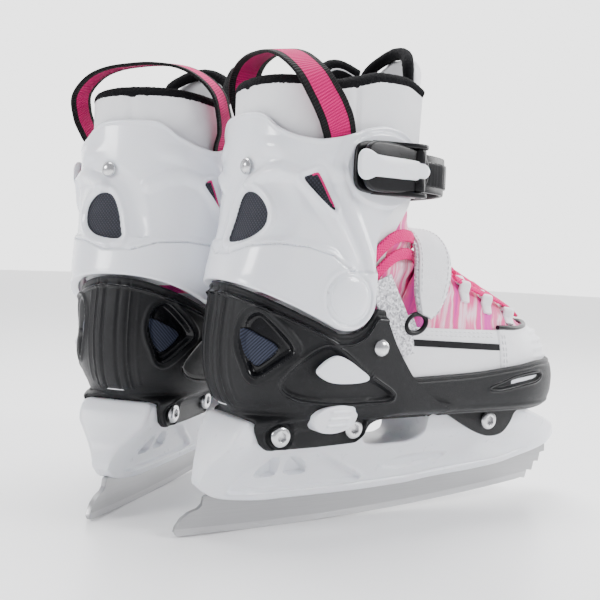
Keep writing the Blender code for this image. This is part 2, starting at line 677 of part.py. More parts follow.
def strap_ring(skate):
    """The loop that the instep strap turns through, on the outer side."""
    around = np.linspace(0.0, 2.0 * math.pi, 12, endpoint=False)
    tube = np.linspace(0.0, 2.0 * math.pi, 5, endpoint=False)
    centre_x, centre_y, centre_z = RING_CENTRE
    points = []
    for a in around:
        for b in tube:
            radius = RING_RADIUS + 1.3 * math.cos(b)
            out = centre_y + math.sin(b)
            points.append((centre_x + radius * math.cos(a), out, centre_z + radius * math.sin(a)))
    faces = []
    for i in range(12):
        for j in range(5):
            nxt = (i + 1) % 12
            up = (j + 1) % 5
            faces.append((i * 5 + j, nxt * 5 + j, nxt * 5 + up, i * 5 + up))
    skate.add("strap_ring", points, faces, "black", "toe")


# ---------------------------------------------------------------- inner boot


def liner_section(back, half, front, inset, columns=25):
    """A horizontal section of the inner boot, open to the front."""
    x, y = horseshoe(back + inset, 2.0, half - inset, front, 2.4, columns)
    return x, y


def foot_liner(skate):
    """The padded lower boot: floor, heel and side walls, closed round the toes."""
    def outline(inset, share):
        x, y = horseshoe(-46.0 + inset, HEEL_CENTRE_X, 35.6 - inset, 104.0, 2.1, 25)
        bends = np.linspace(0.5 * math.pi, -0.5 * math.pi, 11)[1:-1]
        toe_x = 104.0 + (160.0 - inset - 104.0) * np.cos(bends) ** 0.9
        x = np.concatenate([x, toe_x])
        y = np.concatenate([y, (35.6 - inset) * np.sin(bends)])
        tuck = 1.0 - 0.2 * eased(1.0 - 3.0 * share) * (1.0 - eased(x / 40.0))
        drawn = np.where(x < HEEL_CENTRE_X, 0.5 + 0.5 * tuck, 1.0)
        return HEEL_CENTRE_X + (x - HEEL_CENTRE_X) * drawn, y * tuck

    outer = []
    inner = []
    for share in (0.0, 0.2, 0.5, 1.0):
        for rows, inset in ((outer, 0.0), (inner, 4.2)):
            x, y = outline(inset, share)
            top = curve([(-50, 117), (0, 115), (35, 104), (60, 92), (120, 88), (165, 84)], x)
            z = 66.4 + (top - 66.4) * share
            lean = 1.0 - 0.12 * eased((z - 72.0) / 36.0) * eased((x - 5.0) / 20.0)
            rows.append(np.stack([x, y * lean, z], axis=-1))
    outer = np.array(outer)
    inner = np.array(inner)
    outer = np.concatenate([outer, outer[:, :1]], axis=1)
    inner = np.concatenate([inner, inner[:, :1]], axis=1)
    points, faces = walled(outer, inner, ring=True)
    made = skate.add("foot_liner", points, faces, "liner")
    x, y = outline(1.5, 0.0)
    points, faces = plate(list(zip(x, y)), 66.4, 69.0)
    skate.shape(made, "liner_floor", points, faces, "UNION")


def insole(skate):
    """The loose footbed on the liner's floor."""
    x, y = horseshoe(-33.0, HEEL_CENTRE_X, 25.8, 104.0, 2.1, 25)
    bends = np.linspace(0.5 * math.pi, -0.5 * math.pi, 11)[1:-1]
    toe_x = 104.0 + 50.0 * np.cos(bends) ** 0.9
    outline = list(zip(x, y)) + list(zip(toe_x, 25.8 * np.sin(bends)))
    points, faces = plate(outline, 69.4, 72.4)
    skate.add("insole", points, faces, "lining")


def ankle_liner(skate):
    """The padded collar inside the cuff."""
    columns = 25
    shares = np.linspace(0.0, 1.0, 5)
    grids = []
    for inset in (0.0, 8.5):
        grid = np.zeros((len(shares), columns, 3))
        for r, share in enumerate(shares):
            middle = 128.0 + 104.0 * share
            back = curve([(125, -43.5), (142, -42.5), (163, -39.5), (200, -38.0), (236, -37.6)], middle)
            front_line = [(125, 23), (135, 25), (150, 28), (160, 34), (175, 43), (200, 47), (236, 48)]
            front = curve(front_line, middle)
            x, y = liner_section(back, LINER_HALF, front, inset, columns)
            y = y - np.sign(y) * side_taper(x)
            low = curve([(-45, 124), (0, 127), (20, 133), (45, 138)], x)
            high = curve([(-45, 235), (-30, 232), (-9, 229.5), (21, 238), (36, 238), (52, 232)], x)
            high = high + 14.0 * eased((x - 5.0) / 30.0) * eased(y / 30.0)
            grid[r] = np.stack([x, y, low + (high - low) * share], axis=-1)
        grids.append(grid)
    points, faces = walled(grids[0], grids[1])
    skate.add("ankle_liner", points, faces, "liner", "cuff")


def tongue(skate):
    """The padded tongue above the instep."""
    levels = np.linspace(0.0, 1.0, 6)
    across = np.linspace(-TONGUE_HALF, TONGUE_HALF, 7)
    grids = []
    for inset in (0.0, 6.5):
        grid = np.zeros((len(levels), len(across), 3))
        for r, share in enumerate(levels):
            z = 181.0 + 80.0 * share
            front = curve([(173, 62.5), (200, 64.0), (232, 66.0), (250, 66.5), (262, 62.0)], z)
            top_drop = 9.0 * share * (across / TONGUE_HALF) ** 2
            x = front - 10.0 * (across / TONGUE_HALF) ** 2 - inset
            grid[r] = np.stack([x, across, z - top_drop], axis=-1)
        grids.append(grid)
    points, faces = walled(grids[0], grids[1])
    skate.add("tongue", points, faces, "liner", "cuff")


def pull_loop(skate):
    """The webbing loop that arches over the back of the boot."""
    path = [(-5.0, -38.5, 187), (-5.0, -38.6, 205), (-10.5, -42.2, 213), (-17, -43.0, 221), (-24, -40.0, 231),
            (-27.5, -30, 239.5), (-28.5, -18, 244), (-27.5, -4, 246), (-26, 10, 246.5), (-24, 24, 244.5),
            (-21.5, 35, 239), (-17.5, 42.0, 231), (-13, 43.6, 221), (-8, 42.0, 212), (-5.0, 38.6, 205),
            (-5.0, 38.5, 187)]
    path = np.array(path, dtype=float)
    along = np.gradient(path, axis=0)
    across = np.tile((9.5, 0.0, 0.0), (len(path), 1))
    across[:, 2] = 2.0 * (path[:, 2] > 225)
    points, faces = band(path, across, 1.2, np.cross(across, along))
    skate.add("pull_loop", points, faces, "pink", "cuff")


# ---------------------------------------------------------------- buckle


def buckle_place(points):
    """Carry (along, out, up) points of the buckle to the outer side of the cuff."""
    turn = math.radians(BUCKLE_TURN_DEGREES)
    points = np.array(points, dtype=float)
    x = BUCKLE_ORIGIN[0] + points[:, 0] * math.cos(turn) + points[:, 1] * math.sin(turn)
    y = BUCKLE_ORIGIN[1] + points[:, 0] * math.sin(turn) - points[:, 1] * math.cos(turn)
    return np.stack([x, y, BUCKLE_ORIGIN[2] + points[:, 2]], axis=-1)


def upright(outline, low, high):
    """Extrude an (along, out) outline in the buckle's upward direction."""
    points, faces = plate(outline, low, high)
    return buckle_place(points), faces


def facing(outline, low, high):
    """Extrude an (along, up) outline outwards."""
    points, faces = prism(outline, low, high)
    return buckle_place(points), faces


def buckle_base(skate):
    """The channel that holds the lever's pin and guides the ladder strap."""
    base = [(-19, -9), (-16, -12), (16, -13), (20, -13), (20, 13), (16, 13), (-16, 12), (-19, 9)]
    points, faces = facing(base, 0.5, 3.0)
    made = skate.add("buckle_base", points, faces, "black", "cuff")
    cheek = [(4, 2.0), (20, 2.0), (20, 9.0), (18, 11.2), (13, 11.2), (4, 5.0)]
    for number, (low, high) in enumerate([(-13.0, -11.0), (11.0, 13.0)]):
        points, faces = upright(cheek, low, high)
        skate.shape(made, f"cheek_{number}", points, faces, "UNION", "cuff")
    hole = [(LEVER_ALONG + 1.95 * math.cos(a), LEVER_OUT + 1.95 * math.sin(a))
            for a in np.linspace(0, 2 * math.pi, 12, endpoint=False)]
    points, faces = upright(hole, -20.0, 20.0)
    skate.shape(made, "pin_hole", points, faces, "DIFFERENCE", "cuff")


def buckle_lever(skate):
    """The ratchet lever with its pin and its flared tail."""
    outline = [(-24, 0), (-19, -13.5), (-15, -14.5), (-12, -10), (17.8, -10), (17.8, 10), (-12, 10),
               (-15, 14.5), (-19, 13.5)]
    points, faces = facing(outline, 6.8, 9.4)
    made = skate.add("buckle_lever", points, faces, "black", "lever")
    pin = [(LEVER_ALONG + 1.6 * math.cos(a), LEVER_OUT + 1.6 * math.sin(a))
           for a in np.linspace(0, 2 * math.pi, 12, endpoint=False)]
    points, faces = upright(pin, -13.4, 13.4)
    skate.shape(made, "lever_pin", points, faces, "UNION", "lever")


def lever_inlay(skate):
    """The white plate on the lever's face."""
    outline = [(-21, 0), (-16, -9.5), (-10, -7), (12, -7), (12, 7), (-10, 7), (-16, 9.5)]
    points, faces = facing(outline, 9.75, 11.0)
    skate.add("lever_inlay", points, faces, "white", "lever")


def strap_path():
    """The ladder strap's centre line, from the buckle round the shin to the inner side."""
    inside = buckle_place([(-10.0, 3.4, 0.0), (20.0, 3.4, 0.0)])[:, :2]
    front = [(52.0, -41.5), (62.0, -35.0), (69.0, -22.0), (71.5, -7.0), (71.5, 7.0), (69.0, 22.0),
             (62.0, 35.0), (52.0, 41.5), (40.0, 43.6), (22.0, 44.6), (2.0, 44.6)]
    return [tuple(point) for point in inside] + front


def ladder_strap(skate):
    """The strap that the buckle draws tight in front of the shin."""
    path = np.array([(x, y, BUCKLE_ORIGIN[2]) for x, y in strap_path()])
    along = np.gradient(path, axis=0)
    across = np.tile((0.0, 0.0, 9.8), (len(path), 1))
    points, faces = band(path, across, 2.0, np.cross(along, across))
    made = skate.add("ladder_strap", points, faces, "black", "cuff")
    centre = (STRAP_RIVET[0], 0.0, STRAP_RIVET[1])
    points, faces = turned([(RIVET_HOLE_RADIUS, 40.0), (RIVET_HOLE_RADIUS, 60.0)], centre, "Y", 12)
    skate.shape(made, "ladder_rivet_hole", points, faces, "DIFFERENCE", "cuff")


def strap_rivet(skate):
    """The rivet that fixes the ladder strap to the cuff's inner side."""
    profile = [(2.4, 49.2), (4.0, 48.6), (4.8, 47.4), (4.8, 47.0), (2.0, 47.0), (2.0, 41.9)]
    points, faces = turned(profile, (STRAP_RIVET[0], 0.0, STRAP_RIVET[1]), "Y", 12)
    skate.add("strap_rivet", points, faces, "bolt", "cuff")


# ---------------------------------------------------------------- the pair


def build(name, mirror, origin, turn_degrees):
    """Build one whole skate."""
    skate = Skate(name, mirror, origin, turn_degrees)
    skate.group("cuff", ANKLE)
    skate.group("toe", (FRONT_BOLT[0], 0.0, FRONT_BOLT[1]))
    skate.group("button", (BUTTON_CENTRE[0], -24.4, BUTTON_CENTRE[1]))
    pin = buckle_place([(LEVER_ALONG, LEVER_OUT, 0.0)])[0]
    skate.group("lever", tuple(pin))
    blade(skate)
    blade_holder(skate)
    heel_shell(skate)
    bolt(skate, "rear_bolt", REAR_BOLT)
    bolt(skate, "mid_bolt", MID_BOLT)
    side_rivet(skate, "side_rivet_outer", -1.0)
    side_rivet(skate, "side_rivet_inner", 1.0)
    side_badge(skate)
    insole(skate)
    foot_liner(skate)
    size_button(skate)
    toe_shell(skate)
    bolt(skate, "front_bolt", FRONT_BOLT, "toe")
    vamp(skate)
    toe_cap(skate)
    laces(skate)
    instep_strap(skate)
    strap_ring(skate)
    cuff(skate)
    pivot_cap(skate, "pivot_cap_outer", -1.0, 2.9)
    pivot_cap(skate, "pivot_cap_inner", 1.0, 1.6)
    back_rivet(skate)
    ankle_liner(skate)
    tongue(skate)
    pull_loop(skate)
    buckle_base(skate)
    ladder_strap(skate)
    strap_rivet(skate)
    buckle_lever(skate)
    lever_inlay(skate)


for thing in list(bpy.data.objects):
    bpy.data.objects.remove(thing, do_unlink=True)

build("right", 1.0, RIGHT_ORIGIN, -HALF_V_DEGREES)
build("left", -1.0, LEFT_ORIGIN, HALF_V_DEGREES)
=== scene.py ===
# %% [markdown]
# # A pair of junior ice skates with a sliding toe
#
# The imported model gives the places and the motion. This lesson builds the surfaces that a person sees.
# A skate of this kind is moulded in three hard shells, with a soft boot inside them, so most pieces here are
# sheets of points whose height is a formula. Such a sheet is quick to change: every ridge is one line.

# %% Load the frame
import json
import math

import bmesh
import bpy
import numpy as np
from mathutils import Matrix


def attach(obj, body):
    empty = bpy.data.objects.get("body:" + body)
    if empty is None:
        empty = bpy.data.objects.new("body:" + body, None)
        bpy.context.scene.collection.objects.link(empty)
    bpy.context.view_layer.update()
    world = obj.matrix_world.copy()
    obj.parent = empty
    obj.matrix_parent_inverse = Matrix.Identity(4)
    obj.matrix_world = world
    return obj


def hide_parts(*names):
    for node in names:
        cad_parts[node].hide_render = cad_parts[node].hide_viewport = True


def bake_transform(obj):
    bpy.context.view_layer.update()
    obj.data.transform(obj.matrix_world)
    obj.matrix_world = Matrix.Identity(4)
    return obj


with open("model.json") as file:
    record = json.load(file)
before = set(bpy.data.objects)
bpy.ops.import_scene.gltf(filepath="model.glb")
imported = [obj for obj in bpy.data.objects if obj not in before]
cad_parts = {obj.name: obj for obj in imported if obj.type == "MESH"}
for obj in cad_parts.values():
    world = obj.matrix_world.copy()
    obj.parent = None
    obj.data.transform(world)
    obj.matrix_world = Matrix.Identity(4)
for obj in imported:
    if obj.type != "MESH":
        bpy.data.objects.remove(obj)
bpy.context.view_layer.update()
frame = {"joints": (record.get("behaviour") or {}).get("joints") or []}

# %% [markdown]
# ## One skate is drawn, and two are made
# Left and right skates are mirror images. Each shape is worked out once, in millimetres, in the right skate's
# own frame: x to the toe, y to the inner side, z up, with the ankle's pivot above x = 0. The joints of the
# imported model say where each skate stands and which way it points, so no place has to be typed in twice.

# %% Where each skate stands
MM = 0.001
SIDES = ("right", "left")
JOINTS = {joint["name"]: joint for joint in frame["joints"]}


def stand_of(side):
    """A skate's origin under its ankle, and the directions to its toe, to its inner side and up."""
    ankle = np.array(JOINTS[f"{side}_cuff_flex"]["pos_m"])
    toe = np.array(JOINTS[f"{side}_toe_size"]["axis"], dtype=float)
    inner = np.array(JOINTS[f"{side}_button_press"]["axis"], dtype=float)
    return ankle * (1.0, 1.0, 0.0), np.array([toe, inner, (0.0, 0.0, 1.0)])


STANDS = {side: stand_of(side) for side in SIDES}
ANKLE_Z = JOINTS["right_cuff_flex"]["pos_m"][2] / MM


def to_world(points, side):
    """Carry points in millimetres in the right skate's frame to either skate, in metres."""
    origin, directions = STANDS[side]
    return origin + np.asarray(points, dtype=float) * MM @ directions


print("ankle height", round(ANKLE_Z, 1), "mm")

# %% [markdown]
# ## Curves and distances
# Two small tools shape nearly everything. The first reads a smooth curve through a few pairs of numbers, as a
# flexible ruler held by pins would. The second measures how far each point of a sheet lies from a line or
# an outline, which is all that a groove, a bead or a window needs to know.

# %% Curves, easing and distances


def smooth(pairs, value):
    """A cubic between neighbouring (position, value) pairs; the slope at each is the harmonic mean of the
    slopes beside it, so the curve never swings past its points."""
    x, y = np.array(pairs, dtype=float).T
    step = np.diff(x)
    slope = np.diff(y) / step
    before, after = slope[:-1], slope[1:]
    same = before * after > 0.0
    tangent = np.concatenate([slope[:1], np.zeros(len(x) - 2), slope[-1:]])
    tangent[1:-1] = np.where(same, 2.0 * before * after / np.where(same, before + after, 1.0), 0.0)
    held = np.clip(value, x[0], x[-1])
    i = np.clip(np.searchsorted(x, held, side="right") - 1, 0, len(step) - 1)
    t = (held - x[i]) / step[i]
    ends = (1.0 + 2.0 * t) * (1.0 - t) ** 2 * y[i] + t * t * (3.0 - 2.0 * t) * y[i + 1]
    return ends + step[i] * t * (1.0 - t) * ((1.0 - t) * tangent[i] - t * tangent[i + 1])


def eased(value):
    """Clamp to 0..1 and ease both ends."""
    held = np.clip(value, 0.0, 1.0)
    return held * held * (3.0 - 2.0 * held)


def bump(distance, width):
    """A smooth hill: 1 at distance 0 and 0 from the width outwards, (1 - (d / w) ** 2) ** 2."""
    return np.clip(1.0 - (distance / width) ** 2, 0.0, 1.0) ** 2


def line_distance(s, z, path, closed=False):
    """Distance from each (s, z) to the nearest stretch of a broken line."""
    path = np.array(path, dtype=float)
    path = np.vstack([path, path[:1]]) if closed else path
    nearest = np.full(np.broadcast(s, z).shape, np.inf)
    for a, b in zip(path, path[1:]):
        d = b - a
        t = np.clip(((s - a[0]) * d[0] + (z - a[1]) * d[1]) / (d @ d), 0.0, 1.0)
        nearest = np.minimum(nearest, np.hypot(s - a[0] - t * d[0], z - a[1] - t * d[1]))
    return nearest


def outline_distance(s, z, outline):
    """Distance to a closed outline, negative inside: a point is inside if a ray crosses an odd count."""
    inside = np.zeros(np.broadcast(s, z).shape, dtype=bool)
    outline = np.array(outline, dtype=float)
    for a, b in zip(outline, np.roll(outline, -1, axis=0)):
        level = (a[1] > z) != (b[1] > z)
        rise = b[1] - a[1] if b[1] != a[1] else 1e-9
        inside ^= level & (s < (b[0] - a[0]) * (z - a[1]) / rise + a[0])
    return np.where(inside, -1.0, 1.0) * line_distance(s, z, outline, closed=True)


def spline(points, count, closed=False):
    """A Catmull-Rom curve through a few points, resampled to even steps."""
    points = np.array(points, dtype=float)
    ends = (points[-1:], points[:1], points[1:2]) if closed else (points[:1], points[-1:], points[-1:])
    held = np.vstack([ends[0], points, ends[1]] + ([ends[2]] if closed else []))
    spans = len(points) if closed else len(points) - 1
    t = np.linspace(0.0, spans, spans * 24 + 1)
    i = np.minimum(t.astype(int), spans - 1)
    f = (t - i)[:, None]
    a, b, c, d = held[i], held[i + 1], held[i + 2], held[i + 3]
    fine = 0.5 * (2 * b + (c - a) * f + (2 * a - 5 * b + 4 * c - d) * f**2 + (3 * b - a - 3 * c + d) * f**3)
    run = np.concatenate([[0.0], np.cumsum(np.linalg.norm(np.diff(fine, axis=0), axis=1))])
    at = np.linspace(0.0, run[-1], count, endpoint=not closed)
    return np.stack([np.interp(at, run, column) for column in fine.T], axis=-1)


def unit(vectors):
    """Vectors scaled to length 1."""
    return vectors / np.maximum(np.linalg.norm(vectors, axis=-1, keepdims=True), 1e-9)


def rounded(points, count=72):
    """A closed outline through a few (a, b) points with its corners rounded."""
    return spline([(a, b, 0.0) for a, b in points], count, closed=True)[:, :2]


# %% [markdown]
# ## Sheets of points
# A patch is a set of points, its faces, and any numbers that a finish needs at each point, such as how deep in a
# window the point lies. A wall is two sheets joined along their edges, so it is closed and has a thickness, as a
# moulded shell has. Patches are added together to make one piece.

# %% Patches


class Patch:
    """Points in the right skate's frame, faces as tuples, and named numbers at each point."""

    def __init__(self, points, faces, **fields):
        self.points = np.asarray(points, dtype=float).reshape(-1, 3)
        self.faces = faces
        self.fields = {name: np.asarray(values, dtype=float).ravel() for name, values in fields.items()}

    def __add__(self, other):
        count = len(self.points)
        faces = self.faces + [tuple(i + count for i in face) for face in other.faces]
        made = Patch(np.concatenate([self.points, other.points]), faces)
        for name in {**self.fields, **other.fields}:
            first = self.fields.get(name, np.zeros(count))
            second = other.fields.get(name, np.zeros(len(other.points)))
            made.fields[name] = np.concatenate([first, second])
        return made


def quads(rows, columns, ring=False):
    """The faces of a grid; a ring's last column meets its first."""
    r, c = np.meshgrid(np.arange(rows - 1), np.arange(columns if ring else columns - 1), indexing="ij")
    after = (c + 1) % columns
    corners = np.stack([r * columns + c, r * columns + after, (r + 1) * columns + after, (r + 1) * columns + c], -1)
    return corners.reshape(-1, 4)


def wall(outer, inner, ring=False, **fields):
    """Close two matching grids into one thin-walled solid. Fields belong to the outer grid."""
    rows, columns = outer.shape[:2]
    half = rows * columns
    index = np.arange(half).reshape(rows, columns)
    edges = [index[0], index[-1]] + ([] if ring else [index[:, 0], index[:, -1]])
    faces = [quads(rows, columns, ring), quads(rows, columns, ring)[:, ::-1] + half]
    for edge in edges:
        loop = np.append(edge, edge[0]) if ring else edge
        faces.append(np.stack([loop[:-1], loop[1:], loop[1:] + half, loop[:-1] + half], -1))
    both = {name: np.concatenate([np.ravel(values), np.zeros(half)]) for name, values in fields.items()}
    points = np.concatenate([outer.reshape(-1, 3), inner.reshape(-1, 3)])
    return Patch(points, [tuple(face) for face in np.concatenate(faces).tolist()], **both)


def normals(grid):
    """Unit normals of a grid: the cross product of its two directions."""
    return unit(np.cross(np.gradient(grid, axis=0), np.gradient(grid, axis=1)))


def rings(stack, **fields):
    """Close a stack of rings, shape (count, around, 3), with a cap at each end."""
    count, around = stack.shape[:2]
    faces = [tuple(face) for face in quads(count, around, ring=True).tolist()]
    faces += [tuple(range(around))[::-1], tuple(range((count - 1) * around, count * around))]
    return Patch(stack.reshape(-1, 3), faces, **fields)


def swept(path, sides, outs, section, **fields):
    """Carry a closed (side, out) section along a path, given the two directions at each point."""
    section = np.asarray(section, dtype=float)
    section = section if section.ndim == 3 else np.broadcast_to(section, (len(path), *section.shape))
    stack = path[:, None] + sides[:, None] * section[:, :, :1] + outs[:, None] * section[:, :, 1:]
    return rings(stack, **fields)


def tube(path, radius, around=12, up=(0.0, 0.0, 1.0)):
    """A round cord along a path, with its length and its angle as fields."""
    along = unit(np.gradient(path, axis=0))
    sides = unit(np.cross(along, np.array(up)))
    outs = np.cross(sides, along)
    angles = np.linspace(0.0, 2.0 * math.pi, around, endpoint=False)
    circle = np.stack([np.cos(angles), np.sin(angles)], -1)
    radius = np.broadcast_to(radius, len(path))
    run = np.concatenate([[0.0], np.cumsum(np.linalg.norm(np.diff(path, axis=0), axis=1))])
    u, v = np.broadcast_arrays(run[:, None], angles[None, :] * float(np.mean(radius)))
    return swept(path, sides, outs, circle[None] * radius[:, None, None], u=u, v=v)


def turned(profile, centre, axis, around=40):
    """Turn (radius, along) pairs round an axis through a centre."""
    angles = np.linspace(0.0, 2.0 * math.pi, around, endpoint=False)
    radius, along = np.array(profile, dtype=float).T
    first = radius[:, None] * np.cos(angles)
    second = radius[:, None] * np.sin(angles)
    third = np.broadcast_to(along[:, None], first.shape)
    order = {"X": (third, first, second), "Y": (first, third, second), "Z": (first, second, third)}[axis]
    return rings(np.stack(order, -1) + np.array(centre, dtype=float))


def slab(outline, low, high, edge, place=np.asarray):
    """Extrude a closed (a, b) outline from low to high with rounded edges; place maps (a, b, height) to points,
    and without one they are points already.

    Near each face the outline moves inwards along its own normals by edge * (1 - cos), a quarter circle."""
    outline = np.asarray(outline, dtype=float)
    along = np.roll(outline, -1, axis=0) - np.roll(outline, 1, axis=0)
    inward = unit(np.stack([-along[:, 1], along[:, 0]], -1))
    area = np.sum(outline[:, 0] * np.roll(outline[:, 1], -1) - np.roll(outline[:, 0], -1) * outline[:, 1])
    inward *= np.sign(area)
    turn = np.linspace(0.0, 0.5 * math.pi, 5)
    inset = edge * np.concatenate([1.0 - np.sin(turn), (1.0 - np.cos(turn))])
    height = np.concatenate([low + edge * (1.0 - np.cos(turn)), high - edge * (1.0 - np.sin(turn))])
    stack = [np.column_stack([outline + inward * i, np.full(len(outline), h)]) for i, h in zip(inset, height)]
    stack = np.array(stack)
    return rings(place(stack.reshape(-1, 3)).reshape(stack.shape))


# %% [markdown]
# ## From a patch to a piece
# Each patch becomes two objects, one for each skate. Their points are already in their final places, so the
# objects stay at the origin. The mirrored skate would be inside out, so doubled points are merged and the
# normals worked out again. Every point also keeps its place in the skate's own frame for the finishes to read.

# %% Making pieces
MADE = {}


def attribute(mesh, name, values):
    """Write one number or one vector for each point of a mesh."""
    kind, key = ("FLOAT_VECTOR", "vector") if values.ndim == 2 else ("FLOAT", "value")
    mesh.attributes.new(name, kind, "POINT").data.foreach_set(key, values.ravel().astype(np.float32))


def piece(label, patch, finish, body, stands_for=None, sharp=35.0):
    """Make a piece for both skates, ride it on its body when the body is a name (any other body is not followed, and
    the piece stays still), and let it stand for a CAD node of the same name.
    """
    for side in SIDES:
        mesh = bpy.data.meshes.new(f"{side}_{label}")
        mesh.from_pydata(to_world(patch.points, side).tolist(), [], patch.faces)
        attribute(mesh, "place", patch.points)
        for name, values in patch.fields.items():
            attribute(mesh, name, values)
        work = bmesh.new()
        work.from_mesh(mesh)
        bmesh.ops.remove_doubles(work, verts=work.verts, dist=1e-6)
        bmesh.ops.recalc_face_normals(work, faces=work.faces)
        work.to_mesh(mesh)
        work.free()
        mesh.materials.append(finish)
        mesh.shade_smooth()
        mesh.set_sharp_from_angle(angle=math.radians(sharp))
        made = bpy.data.objects.new(f"{side}_{label}_skin", mesh)
        bpy.context.scene.collection.objects.link(made)
        if isinstance(body, str):
            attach(made, f"{side}_{body}")
        else:
            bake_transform(made)
        if stands_for:
            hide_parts(*[f"{side}_{node}" for node in stands_for])
        MADE[made.name] = made
    print(f"{label}: {len(patch.faces)} faces on each skate")

# %% [markdown]
# ## Arithmetic for finishes
# A finish is a formula over the surface: a weave is a product of two waves, grain is noise. Written as node boxes
# such formulas are hard to read, so a small class wraps a socket and turns +, -, * and / into Math nodes.
# Anything that isn't arithmetic, a noise or a colour mix, comes from its one method, add.

# %% The Signal class


class Signal:
    """A number, vector or colour on its way through a material."""

    def __init__(self, tree, socket=None):
        self.tree = tree
        self.socket = socket

    def add(self, kind, settings=None, sockets=None, output=0):
        """Add a node: settings are set first, then the values or links of its sockets."""
        node = self.tree.nodes.new(kind)
        for name, value in (settings or {}).items():
            if name != "stops":
                setattr(node, name, value)
                continue
            while len(node.color_ramp.elements) < len(value):
                node.color_ramp.elements.new(1.0)
            for element, (position, colour) in zip(node.color_ramp.elements, value):
                element.position = position
                element.color = (*colour, 1.0)
        for name, value in (sockets or {}).items():
            if isinstance(value, Signal):
                self.tree.links.new(value.socket, node.inputs[name])
            else:
                node.inputs[name].default_value = value
        return Signal(self.tree, node.outputs[output])

    def math(self, operation, *others):
        """One Math node on this signal and up to two others."""
        return self.add("ShaderNodeMath", {"operation": operation}, dict(enumerate((self, *others))))

    def __add__(self, other):
        return self.math("ADD", other)

    def __mul__(self, other):
        return self.math("MULTIPLY", other)

    def __sub__(self, other):
        return self.math("SUBTRACT", other)

    def __truediv__(self, other):
        return self.math("DIVIDE", other)

    def __rsub__(self, other):
        return self * -1.0 + other

    __radd__ = __add__
    __rmul__ = __mul__

    def wave(self, length):
        """A wave from 0 to 1 along this signal, with the given length from crest to crest."""
        return (self * (2.0 * math.pi / length)).math("SINE") * 0.5 + 0.5

    def step(self, low, high):
        """0 below low, 1 above high, and eased between."""
        return self.add("ShaderNodeMapRange", {"interpolation_type": "SMOOTHSTEP"},
                        {"Value": self, "From Min": low, "From Max": high})

    def noise(self, scale, detail=3.0, vector=None, stretch=None):
        """Noise from 0 to 1 over the place of each point, in features per millimetre."""
        at = vector or self.place()
        if stretch:
            at = at.add("ShaderNodeVectorMath", {"operation": "MULTIPLY"}, {0: at, 1: stretch})
        return self.add("ShaderNodeTexNoise", {}, {"Vector": at, "Scale": scale, "Detail": detail}, "Fac")

    def cells(self, scale, feature="F1"):
        """Distance in a field of cells, for grain and glitter."""
        return self.add("ShaderNodeTexVoronoi", {"feature": feature}, {"Vector": self.place(), "Scale": scale})

    def field(self, name):
        """A number stored at each point of the piece."""
        return self.add("ShaderNodeAttribute", {"attribute_name": name}, output="Fac")

    def place(self):
        """The place of each point in the skate's own frame, in millimetres."""
        return self.add("ShaderNodeAttribute", {"attribute_name": "place"}, output="Vector")

    def axes(self):
        """The place as three numbers."""
        split = self.add("ShaderNodeSeparateXYZ", {}, {"Vector": self.place()})
        return [Signal(self.tree, output) for output in split.socket.node.outputs]

    def mix(self, below, above):
        """A colour between two others, with this signal as the share of the second."""
        sides = {6: below, 7: above}
        held = {i: (*c, 1.0) if isinstance(c, tuple) else c for i, c in sides.items()}
        return self.add("ShaderNodeMix", {"data_type": "RGBA"}, {0: self, **held}, output=2)


def finish(name, build, roughness, metallic=0.0, coat=0.0, sheen=0.0, subsurface=0.0, specular=0.5):
    """Make a material. build returns a dict: colour, and maybe roughness, height, metallic and coat."""
    material = bpy.data.materials.new(name)
    material.use_nodes = True
    tree = material.node_tree
    shader = tree.nodes["Principled BSDF"]
    parts = build(Signal(tree))
    constants = {"Roughness": roughness, "Metallic": metallic, "Coat Weight": coat, "Coat Roughness": 0.06,
                 "Sheen Weight": sheen, "Sheen Roughness": 0.4, "Subsurface Weight": subsurface,
                 "Subsurface Scale": 0.002, "Specular IOR Level": specular}
    for socket, value in constants.items():
        shader.inputs[socket].default_value = value
    if isinstance(parts["colour"], tuple):
        shader.inputs["Base Color"].default_value = (*parts["colour"], 1.0)
    else:
        tree.links.new(parts["colour"].socket, shader.inputs["Base Color"])
    for key, socket in (("roughness", "Roughness"), ("metallic", "Metallic"), ("coat", "Coat Weight")):
        if key in parts:
            tree.links.new(parts[key].socket, shader.inputs[socket])
    if "height" in parts:
        strength, distance = parts.get("depth", (0.5, 0.0003))
        raised = parts["height"].add("ShaderNodeBump", {}, {"Height": parts["height"], "Strength": strength,
                                                             "Distance": distance})
        tree.links.new(raised.socket, shader.inputs["Normal"])
    print("finish", name, "uses", len(tree.nodes), "nodes")
    return material


# %% [markdown]
# ## Hard finishes
# Moulded plastic is never quite even: it has a faint orange peel, fingerprints that dull it in patches, and
# fine scuffs. The black shell is moulded with a leather grain, which is a field of cells a millimetre across.
# The mesh panes in the windows are part of the same sheet as the shell, so one mask tells them apart.

# %% Plastic and metal
WHITE = (0.83, 0.85, 0.90)
BLACK = (0.0045, 0.0048, 0.0058)
PINK = (0.72, 0.002, 0.17)
NIGHT = (0.006, 0.007, 0.014)


def weave_of(s, first, second, length):
    """Two crossed waves over two distances: the threads of a mesh."""
    return (first + second).wave(length) * (first - second).wave(length)


